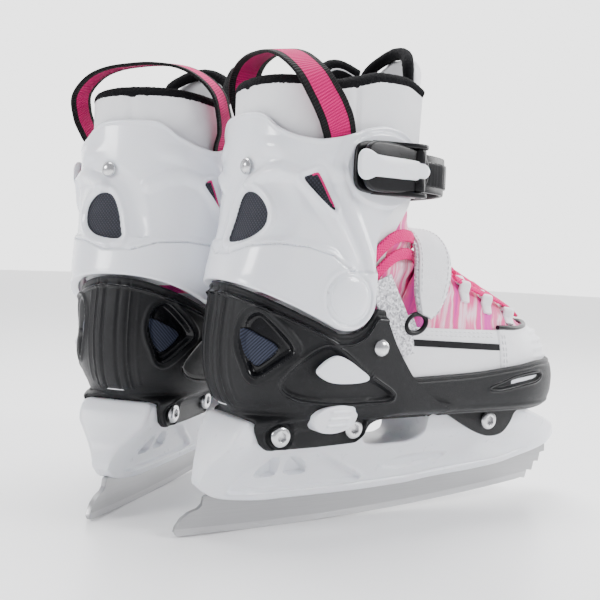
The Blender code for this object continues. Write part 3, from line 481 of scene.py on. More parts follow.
def white_shell(s):
    """Glossy white moulding with dark woven panes and pink piping where the masks say so."""
    pane = s.field("pane").step(0.45, 0.55)
    u, z = s.field("u"), s.axes()[2]
    threads = weave_of(s, u, z, 2.1)
    cloth = threads.step(0.05, 0.6).mix(NIGHT, (0.030, 0.032, 0.046))
    piped = s.field("piping").step(0.4, 0.6).mix(cloth, PINK)
    clean = s.noise(0.05, 4.0).mix((0.80, 0.825, 0.885), (0.87, 0.885, 0.93))
    dust = s.noise(0.9, 5.0).step(0.66, 0.78) * 0.12
    body = dust.mix(clean, (0.70, 0.71, 0.74))
    height = (1.0 - pane) * s.noise(1.2, 2.0) * 0.05 + pane * threads
    rough = pane * 0.55 + s.noise(0.12, 4.0) * 0.10 + 0.17
    return {"colour": pane.mix(body, piped), "roughness": rough, "height": height, "depth": (0.55, 0.0004),
            "coat": (1.0 - pane) * 0.35}


def black_shell(s):
    """Satin black with a leather grain, glossy beads and a woven pane."""
    pane = s.field("pane").step(0.45, 0.55)
    gloss = s.field("gloss").step(0.3, 0.7)
    u, z = s.field("u"), s.axes()[2]
    threads = (u + z).wave(1.9)
    grain = s.cells(1.5, "DISTANCE_TO_EDGE").step(0.0, 0.22)
    worn = s.noise(0.35, 6.0).step(0.52, 0.75)
    body = (worn * 0.5).mix(BLACK, (0.012, 0.0125, 0.015))
    cloth = threads.mix((0.006, 0.008, 0.017), (0.034, 0.042, 0.072))
    height = (1.0 - pane) * (1.0 - gloss) * grain * 0.5 + pane * threads
    rough = (1.0 - gloss) * 0.26 + s.noise(0.15, 4.0) * 0.12 + 0.10 + pane * 0.2
    insert = s.field("insert").step(0.4, 0.6)
    return {"colour": insert.mix(pane.mix(body, cloth), WHITE), "roughness": rough, "height": height,
            "depth": (0.45, 0.00022)}


def holder_plastic(s):
    """Semi-gloss nylon: cool white, with faint flow marks from the mould."""
    flow = s.noise(0.03, 3.0, stretch=(1.0, 3.0, 3.0))
    scuffs = s.noise(0.5, 6.0, stretch=(0.25, 1.0, 3.0)).step(0.62, 0.75) * 0.18
    return {"colour": scuffs.mix(flow.mix((0.80, 0.82, 0.87), (0.87, 0.885, 0.92)), (0.66, 0.67, 0.69)),
            "roughness": s.noise(0.2, 4.0) * 0.16 + 0.22, "height": s.noise(1.6, 2.0), "depth": (0.12, 0.0002)}


def ground_steel(s):
    """Stainless steel brushed along its length, brighter where the grinding wheel trued its lower edge."""
    x, y, z = s.axes()
    brushed = s.noise(1.0, 5.0, stretch=(0.05, 1.0, 6.0))
    above = z - (x + 11.0) * (x + 11.0) * (1.0 / 3244.0)
    ground = 1.0 - above.step(3.2, 3.9)
    marks = x.wave(0.55) * ground
    tone = (brushed * 0.55 + ground * 0.35).mix((0.34, 0.34, 0.345), (0.60, 0.60, 0.61))
    return {"colour": tone, "roughness": brushed * 0.22 + 0.30 - ground * 0.10,
            "height": brushed * 0.7 + marks * 0.3, "depth": (0.10, 0.0002)}


def bright_steel(s):
    """Turned and plated steel for bolts and rivets."""
    return {"colour": s.noise(0.8, 3.0).mix((0.50, 0.50, 0.51), (0.74, 0.74, 0.75)),
            "roughness": s.noise(1.1, 4.0) * 0.2 + 0.14, "height": s.noise(2.0, 3.0), "depth": (0.08, 0.0001)}


def smooth_black(s):
    """Satin black moulding for the buckle and the small trim."""
    worn = s.noise(0.7, 5.0).step(0.55, 0.8) * 0.6
    return {"colour": worn.mix((0.003, 0.003, 0.004), (0.010, 0.010, 0.012)),
            "roughness": s.noise(0.4, 4.0) * 0.18 + 0.22, "height": s.noise(1.5, 3.0), "depth": (0.15, 0.0002)}


CUFF_WHITE = finish("glossy_white_plastic", white_shell, 0.22, coat=0.35, subsurface=0.05)
SHELL_BLACK = finish("grained_black_plastic", black_shell, 0.4, specular=0.28)
HOLDER_WHITE = finish("white_nylon", holder_plastic, 0.3, subsurface=0.08)
BLADE_STEEL = finish("brushed_blade_steel", ground_steel, 0.35, metallic=1.0)
BOLT_STEEL = finish("plated_steel", bright_steel, 0.22, metallic=1.0)
BUCKLE_BLACK = finish("satin_black_plastic", smooth_black, 0.3, specular=0.3)

# %% [markdown]
# ## Soft finishes
# Cloth is read from the distances along and across each piece, u and v, so its threads follow the piece as it
# bends. The upper's print is streaks of pink on white under a fine crosshatch, and the strap's backing is a
# coarse glitter, which is a field of small cells whose random brightness is painted glint.

# %% Cloth, leather and fleece


def printed_cloth(s):
    """Magenta, pink and white streaks that run up the foot, with fine crossed threads over them."""
    x, y, z = s.axes()
    drift = s.noise(0.03, 3.0) * 16.0 + x - z * 0.35
    column = s.add("ShaderNodeCombineXYZ", {}, {0: drift, 1: y * 0.05, 2: z * 0.12})
    streaks = s.noise(0.11, 4.0, vector=column)
    stops = [(0.30, (0.34, 0.005, 0.24)), (0.40, (0.75, 0.01, 0.32)), (0.47, (0.80, 0.07, 0.26)),
             (0.53, (0.90, 0.66, 0.76)), (0.57, (0.84, 0.18, 0.34)), (0.66, (0.70, 0.01, 0.38))]
    colour = s.add("ShaderNodeValToRGB", {"stops": stops}, {"Fac": streaks})
    threads = weave_of(s, x, z, 1.5)
    shaded = (threads * 0.16).mix(colour, (0.93, 0.80, 0.86))
    return {"colour": shaded, "height": threads, "depth": (0.35, 0.0002), "roughness": threads * 0.15 + 0.62}


def soft_leather(s):
    """White coated leather with fine pores and faint creases."""
    grain = s.cells(1.2, "DISTANCE_TO_EDGE").step(0.0, 0.3)
    soil = s.noise(0.12, 5.0).step(0.5, 0.8) * 0.35
    return {"colour": soil.mix((0.84, 0.845, 0.87), (0.72, 0.725, 0.75)), "roughness": s.noise(0.3, 4.0) * 0.2 + 0.42,
            "height": grain * 0.6 + s.noise(0.25, 3.0), "depth": (0.25, 0.0003)}


def liner_cloth(s):
    """White tricot over foam: fine knit, soft light, and a painted shade that darkens the cloth where its folds sink.
    """
    x, y, z = s.axes()
    knit = weave_of(s, x + y, z, 1.3)
    fold = s.noise(0.06, 4.0)
    # fold shapes the folds and also paints shade: the colour is darker where a fold sinks.
    return {"colour": fold.mix((0.76, 0.77, 0.80), (0.88, 0.885, 0.90)), "height": knit * 0.35 + fold,
            "depth": (0.4, 0.0004), "roughness": knit * 0.15 + 0.72}


def fleece(s):
    """Black fleece: short fibres in every direction."""
    fibres = s.noise(2.2, 8.0)
    tuft = s.noise(0.7, 4.0)
    return {"colour": fibres.mix((0.001, 0.001, 0.0015), (0.010, 0.010, 0.012)), "height": fibres + tuft,
            "depth": (0.9, 0.0008), "roughness": fibres * 0.1 + 0.88}


def webbing(s):
    """Ribbed webbing: pink in the middle and black at both edges, with a rib across every 1.4 mm."""
    u, v = s.field("u"), s.field("v")
    edge = v.math("ABSOLUTE").step(5.6, 5.9)
    ribs = u.wave(1.4)
    threads = (ribs * v.wave(0.9) * 0.6 + ribs * 0.4)
    pink = threads.mix((0.40, 0.001, 0.09), (0.80, 0.002, 0.20))
    black = threads.mix((0.001, 0.001, 0.001), (0.010, 0.010, 0.012))
    return {"colour": edge.mix(pink, black), "height": threads, "depth": (0.8, 0.0005),
            "roughness": threads * 0.1 + 0.66}


def lace_cord(s):
    """A braided flat lace: two families of slanting strands."""
    u, v = s.field("u"), s.field("v")
    strands = (u + v).wave(1.9).math("MAXIMUM", (u - v).wave(1.9))
    return {"colour": strands.mix((0.42, 0.001, 0.09), (0.85, 0.002, 0.20)), "height": strands,
            "depth": (0.8, 0.0005), "roughness": strands * 0.1 + 0.58}


def glitter(s):
    """Silver glitter cloth: cells half a millimetre across; each cell's own brightness is a painted glint, as a flake
    turned its own way would catch the light.
    """
    grain = s.add("ShaderNodeTexVoronoi", {}, {"Vector": s.place(), "Scale": 1.1}, "Color")
    flake_glint = s.add("ShaderNodeSeparateColor", {}, {"Color": grain})
    # flake_glint is painted glint: each flake's random brightness stands for the light it catches; it also sets the
    # flake's height, roughness and metal.
    return {"colour": flake_glint.mix((0.30, 0.30, 0.33), (0.93, 0.93, 0.96)), "height": flake_glint, "depth": (0.9, 0.0005),
            "roughness": flake_glint * 0.4 + 0.25, "metallic": flake_glint.step(0.55, 0.8) * 0.7}


def footbed_felt(s):
    """Dark pressed felt for the loose footbed."""
    fibres = s.noise(1.6, 7.0)
    return {"colour": fibres.mix((0.02, 0.02, 0.025), (0.09, 0.09, 0.10)), "height": fibres, "depth": (0.6, 0.0004),
            "roughness": fibres * 0.1 + 0.85}


VAMP_FABRIC = finish("printed_upper_cloth", printed_cloth, 0.7, sheen=0.04, specular=0.2)
UPPER_WHITE = finish("white_coated_leather", soft_leather, 0.5)
LINER_WHITE = finish("white_liner_cloth", liner_cloth, 0.8, sheen=0.2)
FLEECE_BLACK = finish("black_fleece", fleece, 0.9, sheen=0.04, specular=0.1)
WEBBING_PINK = finish("pink_and_black_webbing", webbing, 0.7, sheen=0.03, specular=0.15)
LACE_PINK = finish("braided_pink_lace", lace_cord, 0.6, sheen=0.03, specular=0.15)
GLITTER = finish("silver_glitter_cloth", glitter, 0.4)
FOOTBED = finish("footbed_felt", footbed_felt, 0.9)

# %% [markdown]
# ## The cuff and the heel shell as unrolled sheets
# Both shells are horseshoes in plan: round at the heel and open to the front. Each is a function of t, which runs
# from the outer front edge round the heel to the inner one, and of the height z. Reliefs are laid out on the
# unrolled sheet, in s, the distance from the middle of the heel, and z. A ridge is a hill along a line, and a
# window is a step inside an outline, so the same few lines carve every detail on both sides.

# %% Horseshoe sections
HEEL_CENTRE_X = 20.0
SHELL_HALF = 44.7
CUFF_HALF = 44.0
SHELL_WALL = 2.5
HEEL_BACK = [(45, -41), (61, -41), (66, -44.5), (72, -48.5), (78, -51), (85, -52.6), (97, -53.5), (111, -52.5),
             (119, -51.5), (132, -50.4)]
HEEL_TUCK = [(45, 20.3), (54, 20.3), (57.5, 18.8), (61, 14), (66, 7.5), (72, 3.6), (78, 1.4), (85, 0.3), (97, 0)]
HEEL_FRONT = [(45, 33), (56, 34), (60, 40), (62.5, 66), (66, 74), (70, 60), (83, 43), (88, 39), (100, 31),
              (112, 25), (122, 20.8)]
EAR_BOTTOM = [(-43, 61), (-38, 55.5), (-34.5, 48.5), (-30, 45.7), (5, 45.6), (21, 46.6), (27, 50), (31, 55.5),
              (37, 60), (44, 61)]
CUFF_BACK = [(107, -51), (130, -50.2), (142, -47.5), (153, -44.8), (163, -43), (181, -42), (200, -41.5),
             (216, -40.8)]
CUFF_FRONT = [(107, 16), (135, 16), (148, 16), (157, 18), (165, 23), (172, 30), (177, 38), (186, 41), (200, 41),
              (216, 33)]
CUFF_TOP = [(-45, 215), (-40, 213), (-35, 205), (-27, 200.5), (-19, 199.5), (-10, 201), (0, 204), (9, 207.5),
            (19, 209.5), (29, 208.5), (36, 205), (41, 200)]


def horseshoe(t, back, centre, half, front, power):
    """Straight sides for |t| over 0.6, and a superellipse round the heel inside it."""
    share = np.abs(t)
    angle = np.clip(share / 0.6, 0.0, 1.0) * 0.5 * math.pi
    bend_x = centre - (centre - back) * np.abs(np.cos(angle)) ** (2.0 / power)
    bend_y = np.abs(np.sin(angle)) ** (2.0 / power)
    x = np.where(share < 0.6, bend_x, centre + (front - centre) * (share - 0.6) / 0.4)
    return x, np.sign(t) * np.where(share < 0.6, bend_y, 1.0) * half


def heel_section(t, z, inset=0.0):
    """The heel shell at height z, moved inwards by an inset."""
    power = smooth([(45, 10.0), (57, 8.5), (64, 2.4), (70, 2.1), (130, 2.1)], z)
    front = np.maximum(smooth(HEEL_FRONT, z), HEEL_CENTRE_X + 0.5)
    x, y = horseshoe(t, smooth(HEEL_BACK, z) + inset, HEEL_CENTRE_X, 1.0, front, power)
    low_ears = eased((66.0 - z) / 8.0)
    tuck = smooth(HEEL_TUCK, z) * np.maximum(1.0 - eased(x / 40.0), low_ears)
    return x, y * (SHELL_HALF - inset - tuck)


def cuff_section(t, z, inset=0.0):
    """The cuff at height z; its sides close in a little towards the shin."""
    centre = np.interp(z, [107, 165], [2, 0])
    front = np.maximum(smooth(CUFF_FRONT, z), centre + 0.5)
    x, y = horseshoe(t, smooth(CUFF_BACK, z) + inset, centre, CUFF_HALF - inset, front,
                     np.interp(z, [107, 165], [2.3, 2.5]))
    return x, y - np.sign(y) * 0.002 * np.maximum(x, 0.0) ** 2


def cuff_bottom(x):
    """The cuff's lower edge: a round lobe about the pivot, then a line that rises to the heel."""
    lobe = ANKLE_Z - np.sqrt(np.maximum(16.0**2 - np.clip(x, -16.0, 16.0) ** 2, 0.0))
    return np.where(x < -5.0, np.maximum(107.0 + (-3.0 - x) * 0.478, 107.6), lobe)


def shell_top(x):
    """The heel shell's upper edge, which follows the cuff's lower edge at a small distance."""
    notch = ANKLE_Z - np.sqrt(np.maximum(17.9**2 - np.clip(x, -17.9, 17.9) ** 2, 0.0))
    line = np.maximum(105.7 + (-3.0 - x) * 0.478, 105.9)
    return np.where(x < -5.0, line, np.minimum(notch, 120.0 - 0.1 * x))


def settle(section, edge, t, start):
    """Find where a sheet's column meets an edge that is given as a height over x, by repeated reading."""
    z = np.full(len(t), float(start))
    for _ in range(14):
        z = 0.4 * z + 0.6 * edge(section(t, z)[0])
    return z


def sheet(section, t, low, high, shares, inset=0.0):
    """The grid between two edges, with the distance along each row from the heel's middle, below 0 outside."""
    z = low + (high - low) * shares[:, None]
    tt = np.broadcast_to(t, z.shape)
    x, y = section(tt, z, inset)
    run = np.hypot(np.diff(x, axis=1), np.diff(y, axis=1)).cumsum(axis=1)
    run = np.concatenate([np.zeros((len(z), 1)), run], axis=1)
    middle = run[:, len(t) // 2:len(t) // 2 + 1]
    return np.stack([x, y, z], -1), run - middle


def height_over(points):
    """An edge's height as a function of x, from its points."""
    return lambda x: smooth(points, x)


def outward(grid, middle):
    """The grid's normals, turned to point away from the upright line through the middle."""
    way = normals(grid)
    return way * np.sign(np.sum(way * (grid - middle) * (1.0, 1.0, 0.0), axis=-1, keepdims=True))


def edge_distance(shares, low, high):
    """How far each point of a sheet is from its nearer edge."""
    return np.minimum(shares, 1.0 - shares)[:, None] * (high - low)


def edge_fall(distance, depth, width):
    """How far the surface falls near an edge, as a rounded corner does."""
    return depth * (1.0 - np.sqrt(np.clip(distance / width, 0.0, 1.0)))


T = np.linspace(-1.0, 1.0, 321)
around = np.sign(T) * np.abs(T) ** 1.12
print("a shell's section has", len(T), "points")

# %% [markdown]
# ## The white cuff
# A Y of soft ridges runs down from the top edge and from above the back window, round the side windows, to the
# pivot. The panes are mesh cloth behind the openings, 1.6 mm deep. The rim is thicker than the wall, as moulders
# make it, so that it doesn't cut the leg.

# %% The cuff
BACK_WINDOW = rounded([(-0.3, 149.6), (-1.2, 156), (-3.5, 164), (-6.5, 170.5), (-10, 173.4), (-15, 173.8), (-20, 172),
                       (-25, 167.5), (-27.2, 162), (-25.5, 156), (-19, 151.5), (-10, 149.4)], 48)
SIDE_WINDOW = rounded([(44.5, 180), (47, 182), (51, 183.5), (53, 181.5), (57.5, 174), (61.5, 166.8), (60, 166),
                       (56, 168.5), (50, 174)], 48)
UPPER_RIDGE = [(14, 178), (24, 182.5), (33, 184), (42, 181.5), (49, 175), (56, 166), (65, 154), (74, 141)]
TOP_RIDGE = [(14, 197), (30, 195), (44, 190), (54, 187), (60, 184)]
FRONT_RIDGE = [(70, 206), (65.5, 196), (62.5, 188), (64.5, 178), (70, 167), (77, 155), (84, 143), (89, 132)]
LOW_RIDGE = [(8, 143), (22, 147.5), (37, 148.5), (50, 147.5), (62, 144), (73, 137)]


def cuff_relief(x, s, z):
    """Height of the cuff's surface over its plain section, and the two masks for the finish."""
    back = outline_distance(s, z, BACK_WINDOW)
    s = np.abs(s)
    side = outline_distance(s, z, SIDE_WINDOW)
    upper = line_distance(s, z, UPPER_RIDGE)
    top = line_distance(s, z, TOP_RIDGE)
    front = line_distance(s, z, FRONT_RIDGE)
    lower = line_distance(s, z, LOW_RIDGE)
    height = 2.3 * bump(upper, 5.2) * eased((z - 134.0) / 14.0) + 2.0 * bump(front, 4.8) * eased((z - 128.0) / 12.0)
    height = height + 1.2 * bump(top, 6.0) * eased((s - 12.0) / 14.0)
    trough = bump(upper - 9.0, 6.0) * (z > np.interp(s, [14, 24, 42, 56, 74], [178, 182, 181, 166, 141]))
    height = height - 1.7 * trough * eased((s - 30.0) / 14.0) * eased(front / 6.0) * eased((z - 140.0) / 16.0)
    height = height - 1.3 * bump(back - 11.0, 7.0) * eased(upper / 6.0) * (z > 150) * eased((70.0 - s) / 20.0)
    above = z - np.interp(s, [8, 22, 37, 50, 62, 73], [143, 147.5, 148.5, 147.5, 144, 137])
    height = height + 1.5 * bump(lower, 4.2) * np.where(above < 0.0, 0.0, 1.0)
    height = height + 1.5 * eased(-above / 1.0) * (above < 0)
    height = height + 1.1 * bump(back - 3.0, 2.6) * (back > -0.5)
    height = height + 0.8 * bump(side - 2.2, 1.8) * (side > -0.5)
    pad = ((x - 19.0) / 25.0) ** 2 + ((z - 187.5) / 18.5) ** 2
    height = height + 1.6 * eased((1.06 - pad) / 0.13) * (s > 50)
    ring = np.hypot(x, z - ANKLE_Z)
    height = height - 0.9 * bump(ring - 13.0, 1.0) + 0.5 * eased((16.5 - ring) / 2.0)
    pane = np.maximum(eased(0.5 - back / 0.9), eased(0.5 - side / 0.9))
    height = height * (1.0 - pane) - 1.8 * pane
    ahead = s - 48.3 - (182.0 - z) * 0.858
    piping = bump(side + 0.5, 1.0) * (ahead > 0.0) * (side < 0.3)
    return height, pane, piping


low = settle(cuff_section, cuff_bottom, around, 112.0)
high = settle(cuff_section, height_over(CUFF_TOP), around, 206.0)
shares = np.linspace(0.0, 1.0, 141)
grid, s = sheet(cuff_section, around, low, high, shares)
height, pane, piping = cuff_relief(grid[:, :, 0], s, grid[:, :, 2])
edge = edge_distance(shares, low, high)
rim = 0.55 * eased(1.0 - edge / 3.0) - edge_fall(edge, 0.8, 1.2)
way = outward(grid, (0.0, 0.0, 0.0))
skin = grid + way * (height + rim)[:, :, None]
inside = grid - way * SHELL_WALL
piece("cuff", wall(skin, inside, u=s, pane=pane, piping=piping), CUFF_WHITE, "cuff", ["cuff"], 60)

# %% [markdown]
# ## The black heel shell
# Its upper edge has a glossy bead about 5 mm below it. A deep triangular window opens at each side of the heel,
# with polished walls and a pane of woven cloth low in it, and a shallow triangle holds the badge. Below, the wall
# tucks in to the two ears that the bolts pass through. The grooves down the spine stiffen it.

# %% The heel shell
HEEL_WINDOW = rounded([(21, 101), (22.5, 110.5), (27, 115), (33, 113.5), (48.5, 98.5), (43, 91), (29, 82.5),
                       (24, 91)], 60)
HEEL_PANE = rounded([(21.5, 106.5), (30, 104), (40.5, 97.5), (31, 88.5), (26, 91), (22.5, 98)], 60)
BADGE_RECESS = rounded([(43, 80), (51, 90), (62, 98.5), (70, 97.5), (86, 86), (103, 74), (86, 71.5), (66, 71.5),
                        (50, 74)], 72)


def heel_relief(x, s, z, top):
    """Height over the plain section, with masks for the pane and for the polished parts."""
    window = outline_distance(s, z, HEEL_WINDOW)
    cloth = outline_distance(s, z, HEEL_PANE)
    recess = outline_distance(s, z, BADGE_RECESS)
    below = top - z
    height = 1.2 * bump(below - 5.2, 1.5) - 0.6 * bump(below - 2.8, 1.2)
    height = height + 1.0 * bump(window - 2.4, 1.5) + 0.9 * bump(recess - 1.2, 1.3)
    spine = eased((11.5 - np.abs(s)) / 1.5) * eased((128.0 - z) / 3.0) * eased((z - 66.0) / 4.0)
    grooves = bump(np.abs(s) - 4.2, 1.3) + bump(np.abs(s) - 9.3, 1.3)
    height = height + 1.0 * spine - 0.9 * grooves * spine + 0.35 * bump(np.abs(s) - 15.0, 1.2) * (z > 70) * (z < 120)
    pane = eased(0.5 - cloth / 0.8) * eased(0.5 - window / 0.8)
    depth = eased(-window / 2.4)
    height = height * (1.0 - depth) - 4.2 * depth * (1.0 - 0.35 * pane)
    height = height - 1.9 * eased(-recess / 1.3)
    for bolt_x, bolt_z in ((-24.2, 52.9), (19.6, 54.5)):
        seat = np.hypot(x - bolt_x, z - bolt_z)
        height = height - 1.0 * eased((7.4 - seat) / 0.6) + 0.7 * bump(seat - 8.3, 0.9)
    gloss = np.clip(bump(below - 5.2, 1.9) + (window < 0.4) * (window > -30) + bump(recess - 1.0, 1.4), 0, 1)
    return height, pane, gloss * (1.0 - pane)


low = settle(heel_section, height_over(EAR_BOTTOM), around, 50.0)
low = 61.0 - (61.0 - low) * eased((np.abs(around) - 0.17) / 0.10)
high = settle(heel_section, shell_top, around, 112.0)
shares = np.linspace(0.0, 1.0, 161)
grid, s = sheet(heel_section, around, low, high, shares)
height, pane, gloss = heel_relief(grid[:, :, 0], np.abs(s), grid[:, :, 2], high[None, :])
edge = edge_distance(shares, low, high)
rim = -edge_fall(edge, 0.7, 1.0)
way = outward(grid, (5.0, 0.0, 0.0))
skin = grid + way * (height + rim)[:, :, None]
inside = grid - way * (SHELL_WALL + 2.75 * (height < -2.0))[:, :, None]
plan_t = np.linspace(-0.9, 0.9, 61)
px, py = heel_section(plan_t, np.full(len(plan_t), 63.0), 1.6)
sole = slab(np.column_stack([px, py]), 61.3, 64.2, 0.3)
body = wall(skin, inside, u=s, pane=pane, gloss=gloss) + sole
piece("heel_shell", body, SHELL_BLACK, "skate", ["heel_shell"], 60)

# %% [markdown]
# ## Blade
# The runner is one 3 mm plate: a nearly straight running edge, a stepped heel and toe picks in front. Its outline
# has the picks as plain corners. Only a fine edge is broken on each side, because the ice edge stays sharp.

# %% Blade
ROCKER_CONTACT_X = -11.0
ROCKER_RADIUS = 1622.0
HOLDER_BOTTOM = [(-58, 25.5), (-52, 20.5), (-46, 18.4), (-37, 16.8), (-19, 15.2), (27, 15), (68, 16), (90, 18),
                 (122, 20), (142, 22), (156, 25), (170, 28), (183, 31.5), (191, 36)]

run_x = np.linspace(ROCKER_CONTACT_X - 56.5, ROCKER_CONTACT_X + 175.0, 80)
running_edge = list(zip(run_x, (run_x - ROCKER_CONTACT_X) ** 2 / (2.0 * ROCKER_RADIUS)))
picks = [(167.0, 10.0), (170.6, 9.4), (172.3, 14.6), (176.6, 14.0), (178.2, 19.6), (182.0, 19.4), (183.2, 24.9),
         (187.2, 25.6), (187.0, 30.2), (176.5, 36.4)]
tang_x = np.linspace(176.0, -46.0, 40)
tang = list(zip(tang_x, smooth(HOLDER_BOTTOM, tang_x) + 7.6))
heel = [(-46.0, 20.4), (-52.6, 19.9), (-53.5, 19.0), (-54.2, 15.6), (-56.5, 13.6), (-61.5, 12.0), (-65.5, 9.4),
        (-68.3, 5.6), (-69.0, 3.0)]
outline = np.array(running_edge + picks + tang + heel)


def upright(p):
    """Stand a flat outline up: its second number becomes the height."""
    return np.stack([p[:, 0], p[:, 2], p[:, 1]], -1)


piece("blade", slab(outline, -1.5, 1.5, 0.22, upright), BLADE_STEEL, "skate", ["blade"], 30)

# %% [markdown]
# ## Blade holder
# The white holder is one section carried from heel to toe. At each station the section is as wide as the height
# allows: slim at the blade, as wide as the boot's ears at the top. The arch between the towers is only a
# change in the section's top. Its side carries a long sunk panel with two pockets, and the blade sits in a slot.

# %% Blade holder
HOLDER_TOP = [(-58, 30), (-56.5, 36), (-53, 42.5), (-50, 48), (-46, 56), (-42, 60.2), (-30, 60.2), (26.6, 60.2),
              (27.6, 57), (28.6, 52), (30.5, 48), (34, 45), (40, 43.4), (48, 43), (60, 43.2), (66, 44.6),
              (69.5, 47), (71.5, 50.5), (72.6, 56), (74, 60.2), (100, 60.2), (140, 60.2), (150, 58), (160, 54.6),
              (175, 49.2), (184, 45.6), (188, 43), (190.2, 40.8), (191, 39)]
PANEL = rounded([(-43, 22), (-20, 20.6), (20, 20.4), (39, 22.6), (22, 33), (6, 40.5), (-22, 40.5), (-32, 34)], 60)
POCKETS = [rounded([(-28, 29.4), (-17, 29.2), (-16.4, 37.4), (-21, 37.8)], 40),
           rounded([(-9.5, 29.2), (2.5, 29.2), (-2, 35.6), (-6, 37.6), (-9.8, 37.4)], 40)]
FRONT_PANEL = rounded([(52, 28), (62, 33.5), (92, 34.5), (96, 31), (84, 28), (62, 25.6)], 48)


def half_width(z):
    """Half of the holder's width: slim at the blade and as wide as the shell's ears at the top."""
    return smooth([(15, 5.0), (22, 6.4), (30, 9.0), (38, 13.2), (45, 18.2), (50, 21.0), (55, 21.4), (62, 21.4)], z)


def stations_of(pairs, spacing):
    """Stations along x whose spacing is even along the outline, so steep stretches get enough of them."""
    fine = np.linspace(pairs[0][0], pairs[-1][0], 4000)
    run = np.concatenate([[0.0], np.hypot(np.diff(fine), np.diff(smooth(pairs, fine))).cumsum()])
    return np.interp(np.linspace(0.0, run[-1], int(run[-1] / spacing)), run, fine)


stations = stations_of(HOLDER_TOP, 1.1)
base, top = smooth(HOLDER_BOTTOM, stations), smooth(HOLDER_TOP, stations)
up = 0.5 - 0.5 * np.cos(np.linspace(0.0, math.pi, 56))
up = 0.65 * np.linspace(0.0, 1.0, 56) + 0.35 * up
x = np.broadcast_to(stations[:, None], (len(stations), 56))
z = base[:, None] + (top - base)[:, None] * up
plan = smooth([(-58, 0.62), (-52, 0.86), (-44, 1.0), (140, 1.0), (165, 0.86), (182, 0.62), (191, 0.30)], x)
corner = np.minimum(3.4, 0.5 * (top - base))[:, None]
over = np.clip((z - top[:, None] + corner) / corner, 0.0, 1.0)
under = np.clip((base[:, None] + 1.2 - z) / 1.2, 0.0, 1.0)
width = half_width(z) * plan - corner * (1.0 - np.sqrt(1.0 - over**2)) - 1.0 * (1.0 - np.sqrt(1.0 - under**2))
panel = outline_distance(x, z, PANEL)
width = width - 2.1 * eased(-panel / 1.8) + 0.6 * bump(panel - 0.5, 1.6)
for pocket in POCKETS:
    width = width - (np.maximum(width - 2.6, 0.0)) * eased(0.5 - outline_distance(x, z, pocket) / 1.2)
width = width - 1.8 * eased(-outline_distance(x, z, FRONT_PANEL) / 1.8)
width = width - 0.9 * bump(z - base[:, None] - 4.6, 1.1) * eased((x + 46.0) / 8.0) * eased((166.0 - x) / 12.0)
scoop = np.hypot((x - 146.0) / 26.0, (z - 36.0) / 7.0)
width = width - 1.2 * eased(1.3 - scoop)
groove = 1.85
width = np.maximum(width, groove + 0.3)
slot_depth = np.where((stations > -47.0) & (stations < 177.0), 8.0, 0.1)
slot_top = base + np.minimum(slot_depth, 0.6 * (top - base))
right_side = np.stack([x, -width, z], -1)
left_side = np.stack([x, width, z], -1)[:, ::-1]
slot = np.stack([np.stack([stations, np.full_like(stations, y), level], -1)
                 for y, level in ((groove, base), (groove, slot_top), (-groove, slot_top), (-groove, base))], 1)
piece("blade_holder", rings(np.concatenate([right_side, left_side, slot], axis=1)), HOLDER_WHITE,
      "skate", ["blade_holder"], 32)

# %% [markdown]
# ## Bolts, rivets and the pivot discs
# All of these are turned on a lathe, so each is a profile spun round its axis. A bolt head keeps a hexagon in
# its socket: the socket's ring of points is pulled in to the flats of a hexagon.

# %% Turned parts
BOLTS = {"rear_bolt": (-24.2, 52.9), "mid_bolt": (19.6, 54.5), "front_bolt": (114.4, 53.7)}
SIDE_RIVET = (21.0, 98.7)


def bolt_head(centre, sign):
    """A low domed head with a hexagon socket 2.2 mm deep; the flats are at r = a / cos(angle to the flat)."""
    face = 24.4
    profile = [(3.0, face - 2.4), (5.4, face - 0.6), (5.5, face + 1.0), (5.2, face + 1.8), (4.6, face + 2.3),
               (3.6, face + 2.6), (2.75, face + 2.65), (2.6, face + 2.5), (2.5, face + 0.5), (0.5, face + 0.2)]
    patch = turned([(r, sign * y) for r, y in profile], (centre[0], 0.0, centre[1]), "Y", 48)
    across = patch.points[:, [0, 2]] - np.array(centre)
    radius = np.linalg.norm(across, axis=1)
    angle = np.arctan2(across[:, 1], across[:, 0])
    to_flat = (angle + math.pi / 6.0) % (math.pi / 3.0) - math.pi / 6.0
    hexagon = np.where(radius < 2.7, 0.88 / np.cos(to_flat), 1.0)
    patch.points[:, [0, 2]] = np.array(centre) + across * hexagon[:, None]
    return patch


for label, centre in BOLTS.items():
    shank = turned([(3.0, -22.2), (3.0, 22.2)], (centre[0], 0.0, centre[1]), "Y", 24)
    heads = bolt_head(centre, -1.0) + bolt_head(centre, 1.0) + shank
    piece(label, heads, BOLT_STEEL, "toe" if label == "front_bolt" else "skate", [label], 30)

DOME = [(0.4, 2.5), (1.6, 2.38), (2.8, 2.0), (3.8, 1.35), (4.5, 0.5), (4.6, 0.0), (4.6, -0.5), (2.0, -0.5),
        (2.0, -2.6)]
for label, sign in (("side_rivet_outer", -1.0), ("side_rivet_inner", 1.0)):
    profile = [(r, sign * (45.0 + h)) for r, h in DOME]
    piece(label, turned(profile, (SIDE_RIVET[0], 0.0, SIDE_RIVET[1]), "Y"), BOLT_STEEL, "skate",
          [label])
profile = [(0.9 * r, -42.0 - h) for r, h in DOME]
piece("back_rivet", turned(profile, (0.0, -10.5, 186.5), "X"), BOLT_STEEL, "cuff", ["back_rivet"])
profile = [(r, 46.9 + h) for r, h in DOME]
piece("strap_rivet", turned(profile, (12.0, 0.0, 188.0), "Y"), BOLT_STEEL, "cuff", ["strap_rivet"])

